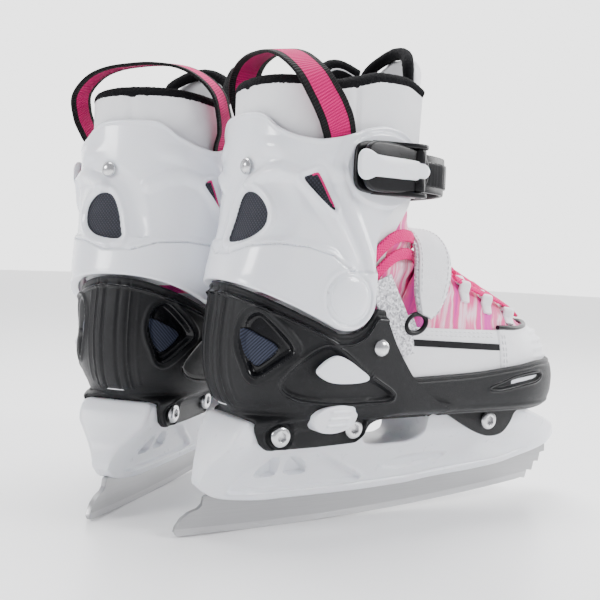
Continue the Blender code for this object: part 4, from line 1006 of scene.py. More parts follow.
for label, sign, crown in (("pivot_cap_outer", -1.0, 2.6), ("pivot_cap_inner", 1.0, 1.5)):
    disc = [(0.6, 1.0), (4.0, 0.97), (7.5, 0.86), (9.8, 0.70), (10.9, 0.48), (11.25, 0.2), (11.3, -0.1), (4.5, -0.1),
            (4.5, -2.0)]
    profile = [(r, sign * (44.6 + crown * h)) for r, h in disc]
    piece(label, turned(profile, (0.0, 0.0, ANKLE_Z), "Y", 64), CUFF_WHITE, "cuff", [label])

# %% [markdown]
# ## Badge and size button
# Both are small mouldings with soft edges. The badge is a plain teardrop, with no lettering. The button has three
# ribs for the thumb and slides in a window of the shell.

# %% Badge and button


def facing_out(outward_y):
    """Place (x, z, height) points on the outer side, with height measured outwards from a plane."""
    return lambda p: np.stack([p[:, 0], outward_y - p[:, 2], p[:, 1]], -1)


def dome(outline, low, high, rise, place, ribs=None):
    """A soft-edged plate whose face crowns: rings shrink to the middle as height grows by a quarter circle."""
    centre = outline.mean(axis=0)
    levels = [(1.0, low), (1.0, high - 0.8), (0.985, high - 0.35), (0.95, high)]
    levels += [(r, high + rise * (1.0 - r * r)) for r in np.linspace(0.92, 0.02, 26)]
    stack = []
    for share, level in levels:
        flat = centre + (outline - centre) * share
        extra = ribs(flat) * (share < 0.93) if ribs else 0.0
        stack.append(np.column_stack([flat, np.full(len(flat), level) + extra]))
    stack = np.array(stack)
    return rings(place(stack.reshape(-1, 3)).reshape(stack.shape))


teardrop = rounded([(-16, 87), (-12, 92), (-5, 95), (2, 92.8), (9, 88.4), (14.5, 84.6), (13.5, 82), (4, 81), (-8, 82)])
piece("side_badge", dome(teardrop, -0.6, 1.5, 0.5, facing_out(-43.4)), HOLDER_WHITE, "skate",
      ["side_badge"])
BUTTON = rounded([(-11, 61.5), (-9.5, 66.5), (-3, 69.2), (6, 69.6), (12.5, 67), (14, 61), (11, 56), (2, 54),
                  (-7, 55.8)])


def thumb_ribs(flat):
    """Three raised bars along x, as hills over the height."""
    rows = sum(bump(flat[:, 1] - level, 1.25) for level in (58.4, 62.2, 66.0))
    return 0.95 * rows * eased((7.0 - np.abs(flat[:, 0] - 3.2)) / 1.4)




def leaning_out(p):
    """Place the button's points: its face leans out by half a millimetre for each one of height."""
    return np.stack([p[:, 0], -23.9 - p[:, 2] - 0.5 * np.maximum(p[:, 1] - 55.0, 0.0), p[:, 1]], -1)


piece("size_button", dome(BUTTON, 0.0, 9.0, 0.4, leaning_out, thumb_ribs), HOLDER_WHITE,
      "button", ["size_button"])

# %% [markdown]
# ## The sliding toe pan
# The toe pan is a shallow tray round the front of the foot. It slides forward out of the heel shell, so its rear
# ends reach back inside that shell. A long slot at each side holds a white insert, and two ears straddle the holder.

# %% Toe pan
TOE_CENTRE_X = 118.0
TOE_TIP = [(60.6, 163.5), (62.2, 168), (66, 171.6), (72, 174), (78, 174.5), (84, 173), (90, 170)]
TOE_HALF = [(60.6, 36.5), (62.2, 39.4), (66, 40.9), (72, 41.3), (84, 41.3), (90, 40.7)]
TOE_START = [(60.6, 70), (64, 62), (70, 50), (76, 46), (90, 46)]
TOE_RIM = [(46, 82.4), (64, 83), (88, 84), (106, 85.8), (125, 88), (141, 89.8), (175, 90)]
TOE_SLOT = rounded([(100, 74.6), (110, 77.6), (120, 80.6), (138, 82.4), (141, 81), (137, 78.2), (122, 76.2),
                    (110, 74.4)], 60)


def toe_section(t, z, inset=0.0):
    """The toe at height z: straight sides for |t| over 0.6, then a superellipse round the tip at t = 0."""
    share = np.abs(t)
    angle = np.clip(share / 0.6, 0.0, 1.0) * 0.5 * math.pi
    tip = smooth(TOE_TIP, z) - inset
    bend_x = TOE_CENTRE_X + (tip - TOE_CENTRE_X) * np.cos(angle) ** 0.93
    side_x = TOE_CENTRE_X + (smooth(TOE_START, z) - TOE_CENTRE_X) * (share - 0.6) / 0.4
    x = np.where(share < 0.6, bend_x, side_x)
    y = np.sign(t) * np.where(share < 0.6, np.sin(angle) ** 0.93, 1.0) * smooth(TOE_HALF, z)
    widen = eased((x - 78.0) / 34.0)
    return x, y * (1.0 + widen * 0.055) - np.sign(t) * inset + 2.0 * widen


def ear(outline, sign):
    """A flat ear over the holder's side, 2.5 mm thick, with soft edges."""
    return slab(outline, 21.9, 24.5, 0.8, lambda p: np.stack([p[:, 0], sign * p[:, 2], p[:, 1]], -1))


toe_t = np.sign(T) * np.abs(T) ** 1.05
low = np.full(len(T), 60.7)
high = settle(toe_section, height_over(TOE_RIM), toe_t, 86.0)
shares = np.linspace(0.0, 1.0, 61)
grid, s = sheet(toe_section, toe_t, low, high, shares)
x, z = grid[:, :, 0], grid[:, :, 2]
slot_hole = outline_distance(np.where(x < 150, x, 300.0), z, TOE_SLOT)
height = -1.9 * eased(-slot_hole / 0.9) + 0.4 * bump(slot_hole - 1.0, 1.1)
height = height + 0.5 * bump(z - 64.5, 1.6) - 0.5 * bump(high[None, :] - z - 2.6, 0.8)
insert = eased(-(slot_hole + 1.0) / 0.5) * (x > 117)
edge = edge_distance(shares, low, high)
height = height - edge_fall(edge, 0.7, 1.0)
way = outward(grid, (90.0, 1.0, 75.0))
pan = wall(grid + way * height[:, :, None], grid - way * SHELL_WALL, u=s, insert=insert,
           gloss=bump(slot_hole - 1.0, 1.2))
px, py = toe_section(toe_t, np.full(len(T), 62.2), 1.8)
tray = slab(np.column_stack([px, py]), 61.0, 63.4, 0.3)
TOE_EAR = rounded([(76, 63), (86, 57.5), (96, 52), (106, 47), (116, 44), (126, 45), (132, 50), (135.5, 56),
                   (138, 63)], 80)
for sign in (-1.0, 1.0):
    tray = tray + ear(TOE_EAR, sign)
piece("toe_shell", pan + tray, SHELL_BLACK, "toe", ["toe_shell"], 55)

# %% [markdown]
# ## The cloth upper
# The upper is one tunnel over the forefoot. Each station along x is an arch between the sole's two sides, and the
# arches shrink to the toe. Trim is laid on it as thin sheets that follow the same arches a little further out:
# the white foxing along the sole, its black stripe, and the toe cap with its ribs.

# %% The upper's arches
CREST = [(18, 160), (50, 157), (66, 152), (86, 143.5), (99, 136.5), (115, 129.5), (127, 123), (137, 116.5),
         (145, 112), (152, 109), (157, 106.8), (161, 103), (164.5, 96), (166.8, 86), (168, 72)]
UPPER_TIP = 168.2
UPPER_BASE = [(30, 84), (42, 74), (52, 66), (168, 66)]
THROAT = [(16, 103), (19, 104), (35, 116), (50, 134), (64, 145), (77, 148.5), (90, 152)]


def arch(x, angle, offset=0.0):
    """A point of the arch at station x: angle 0 is the outer lower edge, half a turn is the inner one."""
    ahead = np.clip((x - 112.0) / (UPPER_TIP - 112.0), 0.0, 1.0)
    half = 38.0 * (1.0 - ahead**2.3) ** (1.0 / 2.3) + offset
    crest = smooth(CREST, x) + offset
    base = smooth(UPPER_BASE, x)
    side = -half * np.sign(np.cos(angle)) * np.abs(np.cos(angle)) ** 0.8
    rise = base + (crest - base) * np.abs(np.sin(angle)) ** 0.8
    push = offset * eased((x - 150.0) / 18.0)
    return np.stack([x + push, side + 0.8 * eased((x - 100.0) / 40.0), rise], -1)


def angle_at(x, z):
    """The angle at which the arch of station x reaches height z, at most a quarter turn."""
    base = smooth(UPPER_BASE, x)
    share = np.clip((z - base) / (smooth(CREST, x) - base), 0.0, 1.0)
    return np.arcsin(share**1.25)


def stretch(start, stop, count):
    """Stations that crowd towards the tip, where the arches shrink fast."""
    return stop - (stop - start) * (1.0 - np.linspace(0.0, 1.0, count)) ** 1.5


angles = np.linspace(0.0, math.pi, 101)
starts = np.full(len(angles), 20.0)
for _ in range(20):
    lift = arch(starts, angles)[:, 2]
    starts = np.clip(0.5 * starts + 0.5 * smooth([(b, a) for a, b in THROAT], lift), 19.0, 80.0)
share = stretch(0.0, 1.0, 90)
x = starts + (UPPER_TIP - 0.3 - starts) * share[:, None]
skin = arch(x, np.broadcast_to(angles, x.shape))
fold = 0.35 * np.sin(x * 0.31 + 2.2 * np.sin(2.0 * angles)) * eased((skin[:, :, 2] - 100.0) / 20.0)
skin[:, :, 2] += fold * eased((135.0 - x) / 20.0)
piece("vamp", wall(skin, arch(x, np.broadcast_to(angles, x.shape), -2.0)), VAMP_FABRIC, "toe",
      ["vamp"], 60)

# %% Foxing, stripe and toe cap
CAP_BACK = 109.0
CAP_TOP = [(100, 107), (109, 107), (125, 106.4), (140, 106.8), (150, 108), (170, 109)]
FOXING_TOP = [(40, 108.5), (70, 107.2), (109, 106)]


def side_sheet(stations, low_z, high_z, offset, count, sign, relief=None):
    """A sheet laid on one side of the upper, between two heights, as far out as offset says."""
    share = np.linspace(0.0, 1.0, count)[:, None]
    x = np.broadcast_to(stations, (count, len(stations)))
    low, high = angle_at(x, low_z(x)), angle_at(x, high_z(x))
    angle = low + (high - low) * share
    away = offset + (relief(x, arch(x, angle)[:, :, 2]) if relief else 0.0)
    turned_over = angle if sign < 0 else math.pi - angle
    run = np.hypot(np.diff(x, axis=1), 0.0).cumsum(axis=1)
    u = np.concatenate([np.zeros((count, 1)), run], axis=1)
    return wall(arch(x, turned_over, away), arch(x, turned_over, 0.1), u=u, v=share + 0.0 * x)


def stitches(path, outs, length=2.3, gap=1.1, radius=0.42):
    """A row of short thread loops along a path: each is a small spindle, sin(pi s) thick, laid on the cloth."""
    run = np.concatenate([[0.0], np.cumsum(np.linalg.norm(np.diff(path, axis=0), axis=1))])
    starts = np.arange(0.5, run[-1] - length, length + gap)
    share = np.linspace(0.0, 1.0, 6)
    at = starts[:, None] + length * share
    middle = np.stack([np.interp(at, run, column) for column in path.T], -1)
    out = unit(np.stack([np.interp(at, run, column) for column in outs.T], -1))
    along = unit(np.gradient(middle, axis=1))
    side = np.cross(along, out)
    around = np.linspace(0.0, 2.0 * math.pi, 6, endpoint=False)
    thick = radius * (0.35 + 0.65 * np.sin(math.pi * share))[None, :, None, None]
    circle = np.cos(around)[:, None] * side[:, :, None] + np.sin(around)[:, None] * out[:, :, None]
    loops = middle[:, :, None] + out[:, :, None] * radius * 0.4 + circle * thick
    made = [rings(loop) for loop in loops]
    whole = made[0]
    points = np.concatenate([one.points for one in made])
    faces = [tuple(i + n * len(whole.points) for i in face) for n in range(len(made)) for face in whole.faces]
    return Patch(points, faces)


def arch_out(x, angle):
    """The direction out of the upper: the difference between two offsets."""
    return unit(arch(x, angle, 1.0) - arch(x, angle, 0.0))


def cap_ribs(x, z):
    """Five raised bands round the front of the cap, and a soft edge at its rear."""
    front = eased((x - 138.0) / 8.0)
    ribs = np.clip(np.sin((z - 84.0) * 2.0 * math.pi / 4.4), 0.0, 1.0) ** 0.7
    return 1.1 * ribs * front * (z < 105) - 0.7 * eased((CAP_BACK + 1.2 - x) / 1.2)


def level_at(z):
    """The same height all along."""
    return lambda x: np.full_like(x, z)


foxing = np.linspace(36.0, CAP_BACK + 1.0, 80)
cap = stretch(CAP_BACK, UPPER_TIP - 0.2, 110)
foxing_top = height_over(FOXING_TOP)
cap_top = height_over(CAP_TOP)
stripe_low, stripe_high = height_over([(36, 98.9), (109, 94.9)]), height_over([(36, 102.3), (109, 98.2)])
for label, finish_of, slot_of, stations, low_z, high_z, offset, relief, stands in (
        ("foxing", UPPER_WHITE, "upper_white", foxing, level_at(67.0), foxing_top, 1.1, None, None),
        ("foxing_stripe", BUCKLE_BLACK, "buckle_black", np.linspace(36.0, CAP_BACK, 70), stripe_low, stripe_high,
         1.7, None, None),
        ("toe_cap", UPPER_WHITE, "upper_white", cap, level_at(67.0), cap_top, 1.9, cap_ribs, ["toe_cap"])):
    both = [side_sheet(stations, low_z, high_z, offset, 46, sign, relief) for sign in (-1.0, 1.0)]
    piece(label, both[0] + both[1], finish_of, "toe", stands, 50)

rows = None
for sign in (-1.0, 1.0):
    seam = foxing[2:-4]
    lines = [(seam, foxing_top(seam) - 1.6, 1.15), (seam, foxing_top(seam) - 3.8, 1.15)]
    rear = np.linspace(84.0, 105.0, 30)
    lines += [(np.full(30, CAP_BACK + 2.6), rear, 1.95), (np.full(30, CAP_BACK + 4.8), rear, 1.95)]
    for line_x, line_z, offset in lines:
        a = angle_at(line_x, line_z)
        a = a if sign < 0 else math.pi - a
        row = stitches(arch(line_x, a, offset), arch_out(line_x, a))
        rows = row if rows is None else rows + row
piece("upper_stitches", rows, UPPER_WHITE, "toe")

edge_x = stretch(CAP_BACK, UPPER_TIP - 6.0, 90)
edge_a = angle_at(edge_x, cap_top(edge_x))
edge_a = np.minimum(edge_a, 0.5 * math.pi)
half_edge = arch(edge_x, edge_a, 2.0)
half_edge = half_edge[edge_a < 0.49 * math.pi]
over = half_edge[::-1] * (1.0, -1.0, 1.0) + (0.0, 1.6, 0.0)
binding = spline(np.concatenate([half_edge[::4], over[::4]]), 160)
piece("toe_cap_binding", tube(binding, 1.35, 12), BUCKLE_BLACK, "toe")

# %% [markdown]
# ## Laces
# The lace is one flat braid, 5 mm wide, that crosses from side to side through white tabs. A cord like this is a
# section carried along a path on the upper, with a little height added where one strand lies over another.

# %% Lace, tabs and straps


def strap(path, outs, width, thick, squareness=6.0, around=28):
    """A flat band: a superellipse section, |s / w| ** n + |o / h| ** n = 1, carried along a path."""
    along = unit(np.gradient(path, axis=0))
    outs = unit(outs - along * np.sum(outs * along, axis=1, keepdims=True))
    sides = np.cross(along, outs)
    turn = np.linspace(0.0, 2.0 * math.pi, around, endpoint=False)
    power = 2.0 / squareness
    side = np.sign(np.cos(turn)) * np.abs(np.cos(turn)) ** power * 0.5
    out = np.sign(np.sin(turn)) * np.abs(np.sin(turn)) ** power * 0.5
    width = np.broadcast_to(width, len(path))
    thick = np.broadcast_to(thick, len(path))
    section = np.stack([side[None] * width[:, None], out[None] * thick[:, None]], -1)
    run = np.concatenate([[0.0], np.cumsum(np.linalg.norm(np.diff(path, axis=0), axis=1))])
    return swept(path, sides, outs, section, u=run[:, None] + 0.0 * side, v=section[:, :, 0])


def on_upper(pairs, offset, count=60):
    """A path over the upper through (x, angle in degrees) pairs, and its outward directions."""
    fine = spline([(x, math.radians(a), 0.0) for x, a in pairs], count)
    offset = np.broadcast_to(offset, count)
    return arch(fine[:, 0], fine[:, 1], offset[:, None].ravel()), arch_out(fine[:, 0], fine[:, 1])


def crossing(count, over_first):
    """Height over the upper along one crossing strand: it dips at its ends and rises in its middle."""
    share = np.linspace(0.0, 1.0, count)
    return 1.2 + (1.6 if over_first else 0.5) * bump(share - 0.5, 0.28)


LACE_ROWS = (86.0, 96.5, 107.5, 118.5, 129.0)
lacing = None
for number, (a, b) in enumerate(zip(LACE_ROWS, LACE_ROWS[1:])):
    for flip in (False, True):
        ends = [(a, 64), (0.5 * (a + b), 90), (b, 116)]
        ends = [(x, 180 - angle) for x, angle in ends] if flip else ends
        path, outs = on_upper(ends, crossing(60, flip == bool(number % 2)))
        band = strap(path, outs, 4.8, 1.5, 3.0, 16)
        lacing = band if lacing is None else lacing + band
for a in (LACE_ROWS[0], LACE_ROWS[-1]):
    path, outs = on_upper([(a, 64), (a + 0.5, 90), (a, 116)], 1.5)
    lacing = lacing + strap(path, outs, 4.8, 1.5, 3.0, 16)
for flip in (1, -1):
    edge_run = [(82, 54), (98, 55), (112, 57), (126, 61), (143, 74)]
    path, outs = on_upper([(x, 90 - flip * (90 - angle)) for x, angle in edge_run], 2.9, 120)
    lacing = lacing + strap(path, outs, 5.4, 1.9, 3.0, 16)
piece("laces", lacing, LACE_PINK, "toe", ["laces"], 60)

tabs = None
for a in (89.0, 106.0, 124.0):
    for sign in (-1, 1):
        ends = [(a - 1.5, 42), (a - 0.5, 49), (a + 0.5, 56), (a + 1.0, 64)]
        ends = [(x, 90 + sign * (90 - angle)) for x, angle in ends]
        rise = 0.6 + 3.2 * bump(np.linspace(0.0, 1.0, 30) - 0.62, 0.25)
        path, outs = on_upper(ends, rise, 30)
        band = strap(path, outs, 7.6 - 2.2 * np.linspace(1.0, 0.0, 30) ** 2, 2.6, 3.0, 24)
        tabs = band if tabs is None else tabs + band
piece("lace_tabs", tabs, UPPER_WHITE, "toe")

# %% [markdown]
# ## Instep strap
# A soft strap crosses the instep and turns through a ring at the outer side. It is two layers: a glitter cloth
# backing, which shows as a bright edge, and a white coated face with a row of stitches along each side.

# %% Instep strap
RING = np.array([44.0, -42.6, 111.0])
STRAP_ROUTE = [(48.5, -43.4, 115), (51.0, -42.9, 121), (54.0, -41.2, 131), (57.5, -37.6, 142), (60.5, -31, 151),
               (63, -18, 158), (64, 0, 160.5), (63, 18, 158), (60, 31, 151), (56, 38, 141), (52, 41, 129),
               (49, 42.2, 118), (47, 42.4, 110)]
route = spline(STRAP_ROUTE, 120)
centre_line = np.array([52.0, 0.0, 112.0])
outs = unit((route - centre_line) * (0.35, 1.0, 1.0))
taper = smooth([(0, 9), (4, 15), (10, 20), (20, 22.5), (90, 23), (119, 20)], np.arange(120.0))
backing = strap(route, outs, taper, 2.6, 7.0)
face = strap(route + outs * 1.7, outs, taper - 3.0, 1.5, 7.0)
piece("instep_strap", backing, GLITTER, "toe", ["instep_strap"], 60)
piece("instep_strap_face", face, UPPER_WHITE, "toe", None, 60)
along = unit(np.gradient(route, axis=0))
sides = np.cross(along, outs)
seam_rows = None
for sign in (-1.0, 1.0):
    line = route + outs * 2.35 + sides * sign * (0.5 * taper - 2.8)[:, None]
    row = stitches(line[8:-4], outs[8:-4])
    seam_rows = row if seam_rows is None else seam_rows + row
piece("instep_strap_stitches", seam_rows, UPPER_WHITE, "toe")

turn = np.linspace(0.0, 2.0 * math.pi, 64, endpoint=False)
tilt = math.radians(24.0)
ring_u = np.array([math.cos(tilt), 0.0, math.sin(tilt)])
ring_v = np.array([-math.sin(tilt), 0.12, math.cos(tilt)])
loop = RING + 6.6 * np.cos(turn)[:, None] * ring_u + 4.6 * np.sin(turn)[:, None] * ring_v
loop = np.concatenate([loop, loop[:2]])
closed = tube(loop, 1.35, 14, up=(0.0, 1.0, 0.0))
piece("strap_ring", closed, BUCKLE_BLACK, "toe", ["strap_ring"], 60)
anchor = spline([(22, -39.2, 133), (26, -40.6, 124), (31, -41.6, 114), (35, -42.0, 104), (37, -41.6, 94)], 50)
anchor_out = np.tile((0.0, -1.0, 0.0), (50, 1))
under = spline([(43, -42.2, 112), (39, -41.8, 110), (35, -41.2, 109), (31, -40.8, 109)], 40)
piece("strap_anchor", strap(anchor, anchor_out, 15.0, 1.8) + strap(under, anchor_out[:40], 9.0, 1.6), GLITTER,
      "toe", None, 60)

# %% [markdown]
# ## The inner boot
# The padded collar stands inside the cuff and leans with it. Its section is a tall loop: up the outer face, round
# the rim and down the inner face. The same loop is carried round the ankle, so foam, rim and lining always match.
# A fleece binding covers the rim and black fleece lines the inside.

# %% Ankle collar
LINER_HALF = 38.3
LINER_BACK = [(125, -43.3), (142, -42.3), (163, -39.4), (200, -37.9), (240, -38.2)]
LINER_FRONT = [(125, 22), (135, 25), (150, 28), (160, 34), (175, 43), (200, 47), (240, 49)]
RIM = [(-46, 230.5), (-40, 231), (-30, 230), (-9, 228.5), (6, 232), (21, 236), (36, 236.5), (50, 232)]


def collar_section(t, z, inset=0.0):
    """The collar in plan at height z, with the cuff's closing-in towards the shin."""
    x, y = horseshoe(t, smooth(LINER_BACK, z) + inset, 2.0, LINER_HALF - inset, smooth(LINER_FRONT, z), 2.4)
    return x, y - np.sign(y) * 0.002 * np.maximum(x, 0.0) ** 2


def rim_height(x, y):
    """The rim dips at the sides and rises at the inner front."""
    return smooth(RIM, x) + 20.0 * eased((x - 5.0) / 30.0) * eased(y / 30.0)


def collar(inset_out, inset_in, drop, t, rows=60):
    """Loops of the collar's section, one for each t: outer face, rounded rim, inner face."""
    thick = inset_in - inset_out
    up = np.linspace(0.0, 1.0, rows)
    turn = np.linspace(0.0, math.pi, 14)[1:-1]
    share = np.concatenate([up, np.ones(len(turn)), up[::-1]])
    inset = np.concatenate([np.full(rows, inset_out), inset_out + 0.5 * thick * (1.0 - np.cos(turn)),
                            np.full(rows, inset_in)])
    lift = np.concatenate([np.zeros(rows), 0.5 * thick * np.sin(turn), np.zeros(rows)])
    z = np.full((len(t), len(share)), 180.0)
    tt = np.broadcast_to(t[:, None], z.shape)
    for _ in range(8):
        x, y = collar_section(tt, z, inset)
        low = np.interp(x, [-45, 0, 20, 45], [124, 127, 133, 138])
        z = low + (rim_height(x, y) - drop - low) * share + lift
    x, y = collar_section(tt, z, inset)
    return np.stack([x, y, z], -1)


collar_t = np.linspace(-1.0, 1.0, 150)
loops = collar(0.3, 7.6, 4.0, collar_t)
seams = 0.8 * (bump(np.abs(collar_t) - 0.62, 0.02) + bump(collar_t, 0.02))[:, None]
outward = unit(loops[:, :1] * (1.0, 1.0, 0.0) - (5.0, 0.0, 0.0))
facing_out_share = (np.arange(loops.shape[1]) < 60)[None, :]
loops = loops - outward * (seams * facing_out_share)[:, :, None]
piece("ankle_liner", rings(loops), LINER_WHITE, "cuff", ["ankle_liner"], 60)

lining_t = np.linspace(-0.985, 0.985, 120)
lining = collar(7.9, 9.4, 5.0, lining_t, 40)
piece("collar_lining", rings(lining), FLEECE_BLACK, "cuff", None, 60)


def fuzzy(patch, amount):
    """Roughen a patch by a few crossed waves of its own place, so fleece has an uneven edge."""
    p = patch.points
    waves = np.sin(p @ np.array([1.9, 2.3, 1.7])) * np.sin(p @ np.array([-1.3, 2.9, 2.1]) + 1.0)
    waves = waves + 0.7 * np.sin(p @ np.array([4.1, -3.7, 3.3])) * np.sin(p @ np.array([3.1, 4.7, -2.9]))
    centre = p.reshape(-1, 3)
    patch.points = centre + amount * waves[:, None] * unit(np.sin(centre * 1.3 + 0.5) + 0.2)
    return patch


rim_t = np.linspace(-1.0, 1.0, 220)
z = np.full(len(rim_t), 230.0)
for _ in range(8):
    x, y = collar_section(rim_t, z, 4.0)
    z = rim_height(x, y) - 1.6
rim_line = np.stack([x, y, z], -1)
turn = np.linspace(0.0, 2.0 * math.pi, 24, endpoint=False)
along = unit(np.gradient(rim_line, axis=0))
across_rim = unit(np.cross(along, (0.0, 0.0, 1.0)))
section = np.stack([4.2 * np.cos(turn), 3.6 * np.sin(turn)], -1)
roll = swept(rim_line, across_rim, np.cross(across_rim, along), section)
piece("collar_binding", fuzzy(roll, 0.22), FLEECE_BLACK, "cuff", None, 60)

# %% [markdown]
# ## Padded pieces by cloth simulation
# Foam in a sewn cover is fullest in its middle and pulled in at its seams. A cloth simulation finds that shape:
# the plain cover is remeshed evenly, blown up a little, and held back by a cap on how far a point may move.
# Each pad is simulated once and used for both skates.

# %% Cloth simulation


def inflated(patch, voxel=4.0, pressure=4.0, cap=5.0, frames=20):
    """Blow up a closed patch with Blender's cloth; each point's move is shortened to cap millimetres."""
    mesh = bpy.data.meshes.new("pad_cover")
    mesh.from_pydata((patch.points * MM).tolist(), [], patch.faces)
    work = bmesh.new()
    work.from_mesh(mesh)
    bmesh.ops.remove_doubles(work, verts=work.verts, dist=1e-6)
    bmesh.ops.recalc_face_normals(work, faces=work.faces)
    work.to_mesh(mesh)
    work.free()
    pad = bpy.data.objects.new("pad_cover", mesh)
    bpy.context.scene.collection.objects.link(pad)
    even = pad.modifiers.new("even", "REMESH")
    even.mode = "VOXEL"
    even.voxel_size = voxel * MM
    bpy.context.view_layer.update()
    still = bpy.data.meshes.new_from_object(pad.evaluated_get(bpy.context.evaluated_depsgraph_get()))
    pad.modifiers.clear()
    pad.data = still
    rest = np.zeros(len(still.vertices) * 3)
    still.vertices.foreach_get("co", rest)
    cloth = pad.modifiers.new("cloth", "CLOTH")
    cloth.settings.use_pressure = True
    cloth.settings.uniform_pressure_force = pressure
    cloth.settings.effector_weights.gravity = 0.0
    scene = bpy.context.scene
    for frame_number in range(1, frames + 1):
        scene.frame_set(frame_number)
    grown = bpy.data.meshes.new_from_object(pad.evaluated_get(bpy.context.evaluated_depsgraph_get()))
    blown = np.zeros(len(grown.vertices) * 3)
    grown.vertices.foreach_get("co", blown)
    faces = [tuple(face.vertices) for face in grown.polygons]
    rest, blown = rest.reshape(-1, 3) / MM, blown.reshape(-1, 3) / MM
    move = blown - rest
    length = np.linalg.norm(move, axis=1, keepdims=True)
    bpy.data.objects.remove(pad, do_unlink=True)
    scene.frame_set(1)
    print("simulated", len(rest), "points; the largest move was", round(float(length.max()), 1), "mm")
    return Patch(rest + move * np.minimum(1.0, cap / np.maximum(length, 1e-9)), faces)


def pad_piece(label, patch, finish_of, body, stands, relief=None):
    puffed = inflated(patch)
    if relief is not None:
        puffed.points = relief(puffed.points)
    piece(label, puffed, finish_of, body, stands, 80)
    for side in SIDES:
        made = MADE[f"{side}_{label}_skin"]
        finer = made.modifiers.new("finer", "SUBSURF")
        finer.levels = finer.render_levels = 1


# %% Tongue
TONGUE_FRONT = [(172, 58.5), (185, 61.5), (200, 63.6), (232, 65.8), (248, 66.2), (262, 61.0)]


def tongue_centre(u, z):
    """The middle of the tongue's thickness: it curves round the shin as the square of the way across."""
    return smooth(TONGUE_FRONT, z) - 4.0 - 10.0 * u**2


def tongue_form(half, low, high, thick, count=40):
    """A tapered pad: its thickness falls to nothing at its border as a quarter circle does."""
    u = np.linspace(-1.0, 1.0, 33)
    w = np.linspace(0.0, 1.0, count)
    uu, ww = np.meshgrid(u, w)
    z = low + (high - low) * ww - 9.0 * ww * uu**2
    y = half * uu * smooth([(0, 0.82), (0.4, 0.95), (0.8, 1.0), (1, 0.93)], ww)
    full = (1.0 - np.abs(uu) ** 4) ** 0.5 * (1.0 - np.abs(2.0 * ww - 1.0) ** 8) ** 0.5
    lip = 1.0 + 0.9 * eased((ww - 0.72) / 0.2)
    x = tongue_centre(uu, z)
    front = np.stack([x + thick * full * lip + 0.15, y, z], -1)
    rear = np.stack([x - thick * full * lip - 0.15, y, z], -1)
    return wall(front, rear)


def tongue_channels(p):
    """Sewn channels across the face, 9 mm apart, each a shallow valley that fades at the border."""
    depth = 1.1 * bump((p[:, 2] - 4.0 + 0.01 * p[:, 1] ** 2) % 9.0 - 4.5, 1.7) * eased((20.0 - np.abs(p[:, 1])) / 4.0)
    front = eased((p[:, 0] - tongue_centre(p[:, 1] / 23.5, p[:, 2])) / 2.0)
    moved = p.copy()
    moved[:, 0] -= depth * front * eased((246.0 - p[:, 2]) / 6.0)
    return moved


pad_piece("tongue", tongue_form(21.5, 176.0, 259.0, 3.0), LINER_WHITE, "cuff", ["tongue"],
          tongue_channels)
border_share = np.linspace(0.0, 1.0, 50)
border = np.concatenate([np.column_stack([np.full(50, -1.0), border_share]),
                         np.column_stack([np.linspace(-1, 1, 40)[1:-1], np.ones(38)]),
                         np.column_stack([np.full(50, 1.0), border_share[::-1]])])
u, w = border.T
z = 176.0 + 82.5 * w - 9.0 * w * u**2
y = 21.8 * u * smooth([(0, 0.82), (0.4, 0.95), (0.8, 1.0), (1, 0.93)], w)
border = spline(np.stack([tongue_centre(u, z) - 4.5 * eased((w - 0.6) / 0.3), y, z], -1)[::6], 200)
radius = smooth([(0, 2.0), (60, 2.6), (80, 3.2), (100, 3.4), (120, 3.2), (140, 2.6), (199, 2.0)], np.arange(200.0))
piece("tongue_binding", fuzzy(tube(border, radius, 16, up=(1.0, 0.0, 0.0)), 0.2), FLEECE_BLACK,
      "cuff", None, 60)

# %% Gaiter, lower boot and footbed
GAITER_FRONT = [(84, 64), (104, 63), (120, 63), (134, 63), (148, 62), (160, 60), (172, 56.5), (182, 55)]
GAITER_BACK = [(84, 17), (120, 15), (182, 6)]


def gaiter_point(angle, z, inset):
    """A horizontal section, half an ellipse over the front of the ankle, from side to side."""
    half = smooth([(84, 34.0), (110, 35.8), (150, 36.2), (182, 35.6)], z) - inset
    front, back = smooth(GAITER_FRONT, z) - inset, smooth(GAITER_BACK, z)
    x = back + (front - back) * np.sin(angle) ** 0.85
    return np.stack([x, -half * np.sign(np.cos(angle)) * np.abs(np.cos(angle)) ** 0.8, z], -1)


ga, gz = np.meshgrid(np.linspace(0.0, math.pi, 90), np.linspace(86.0, 181.0, 90))
wrinkle = 0.9 * np.sin(gz * 0.42 + 1.3 * np.cos(ga * 3.0)) * eased((gz - 118.0) / 18.0) * eased((176.0 - gz) / 14.0)
gaiter = wall(gaiter_point(ga, gz, -wrinkle), gaiter_point(ga, gz, 2.6))
piece("ankle_gaiter", gaiter, VAMP_FABRIC,
      ("skate", "cuff", (20.0, 0.0, 112.0), (20.0, 0.0, 168.0)), None, 60)


def boot_outline(t, inset, share):
    """The lower boot in plan: a superellipse heel, and a longer one for the toes."""
    angle = 0.5 * math.pi * t
    ahead = np.abs(t) > 1.0
    turn = math.pi - np.abs(t) * 0.5 * math.pi
    heel_x = HEEL_CENTRE_X - (66.0 - inset) * np.abs(np.cos(angle)) ** 0.95
    toe_x = 104.0 + (56.0 - inset) * np.abs(np.cos(turn)) ** 0.9
    side = np.clip((np.abs(t) - 0.92) / 0.16, 0.0, 1.0)
    x = np.where(ahead, toe_x, heel_x)
    x = np.where((np.abs(t) > 0.92) & (np.abs(t) < 1.08), HEEL_CENTRE_X + 84.0 * side, x)
    y = (35.4 - inset) * np.sign(t) * np.abs(np.sin(0.5 * math.pi * np.clip(np.abs(t), 0, 2))) ** 0.95
    tuck = 1.0 - 0.2 * eased(1.0 - 3.0 * share) * (1.0 - eased(x / 40.0))
    return x, y * tuck


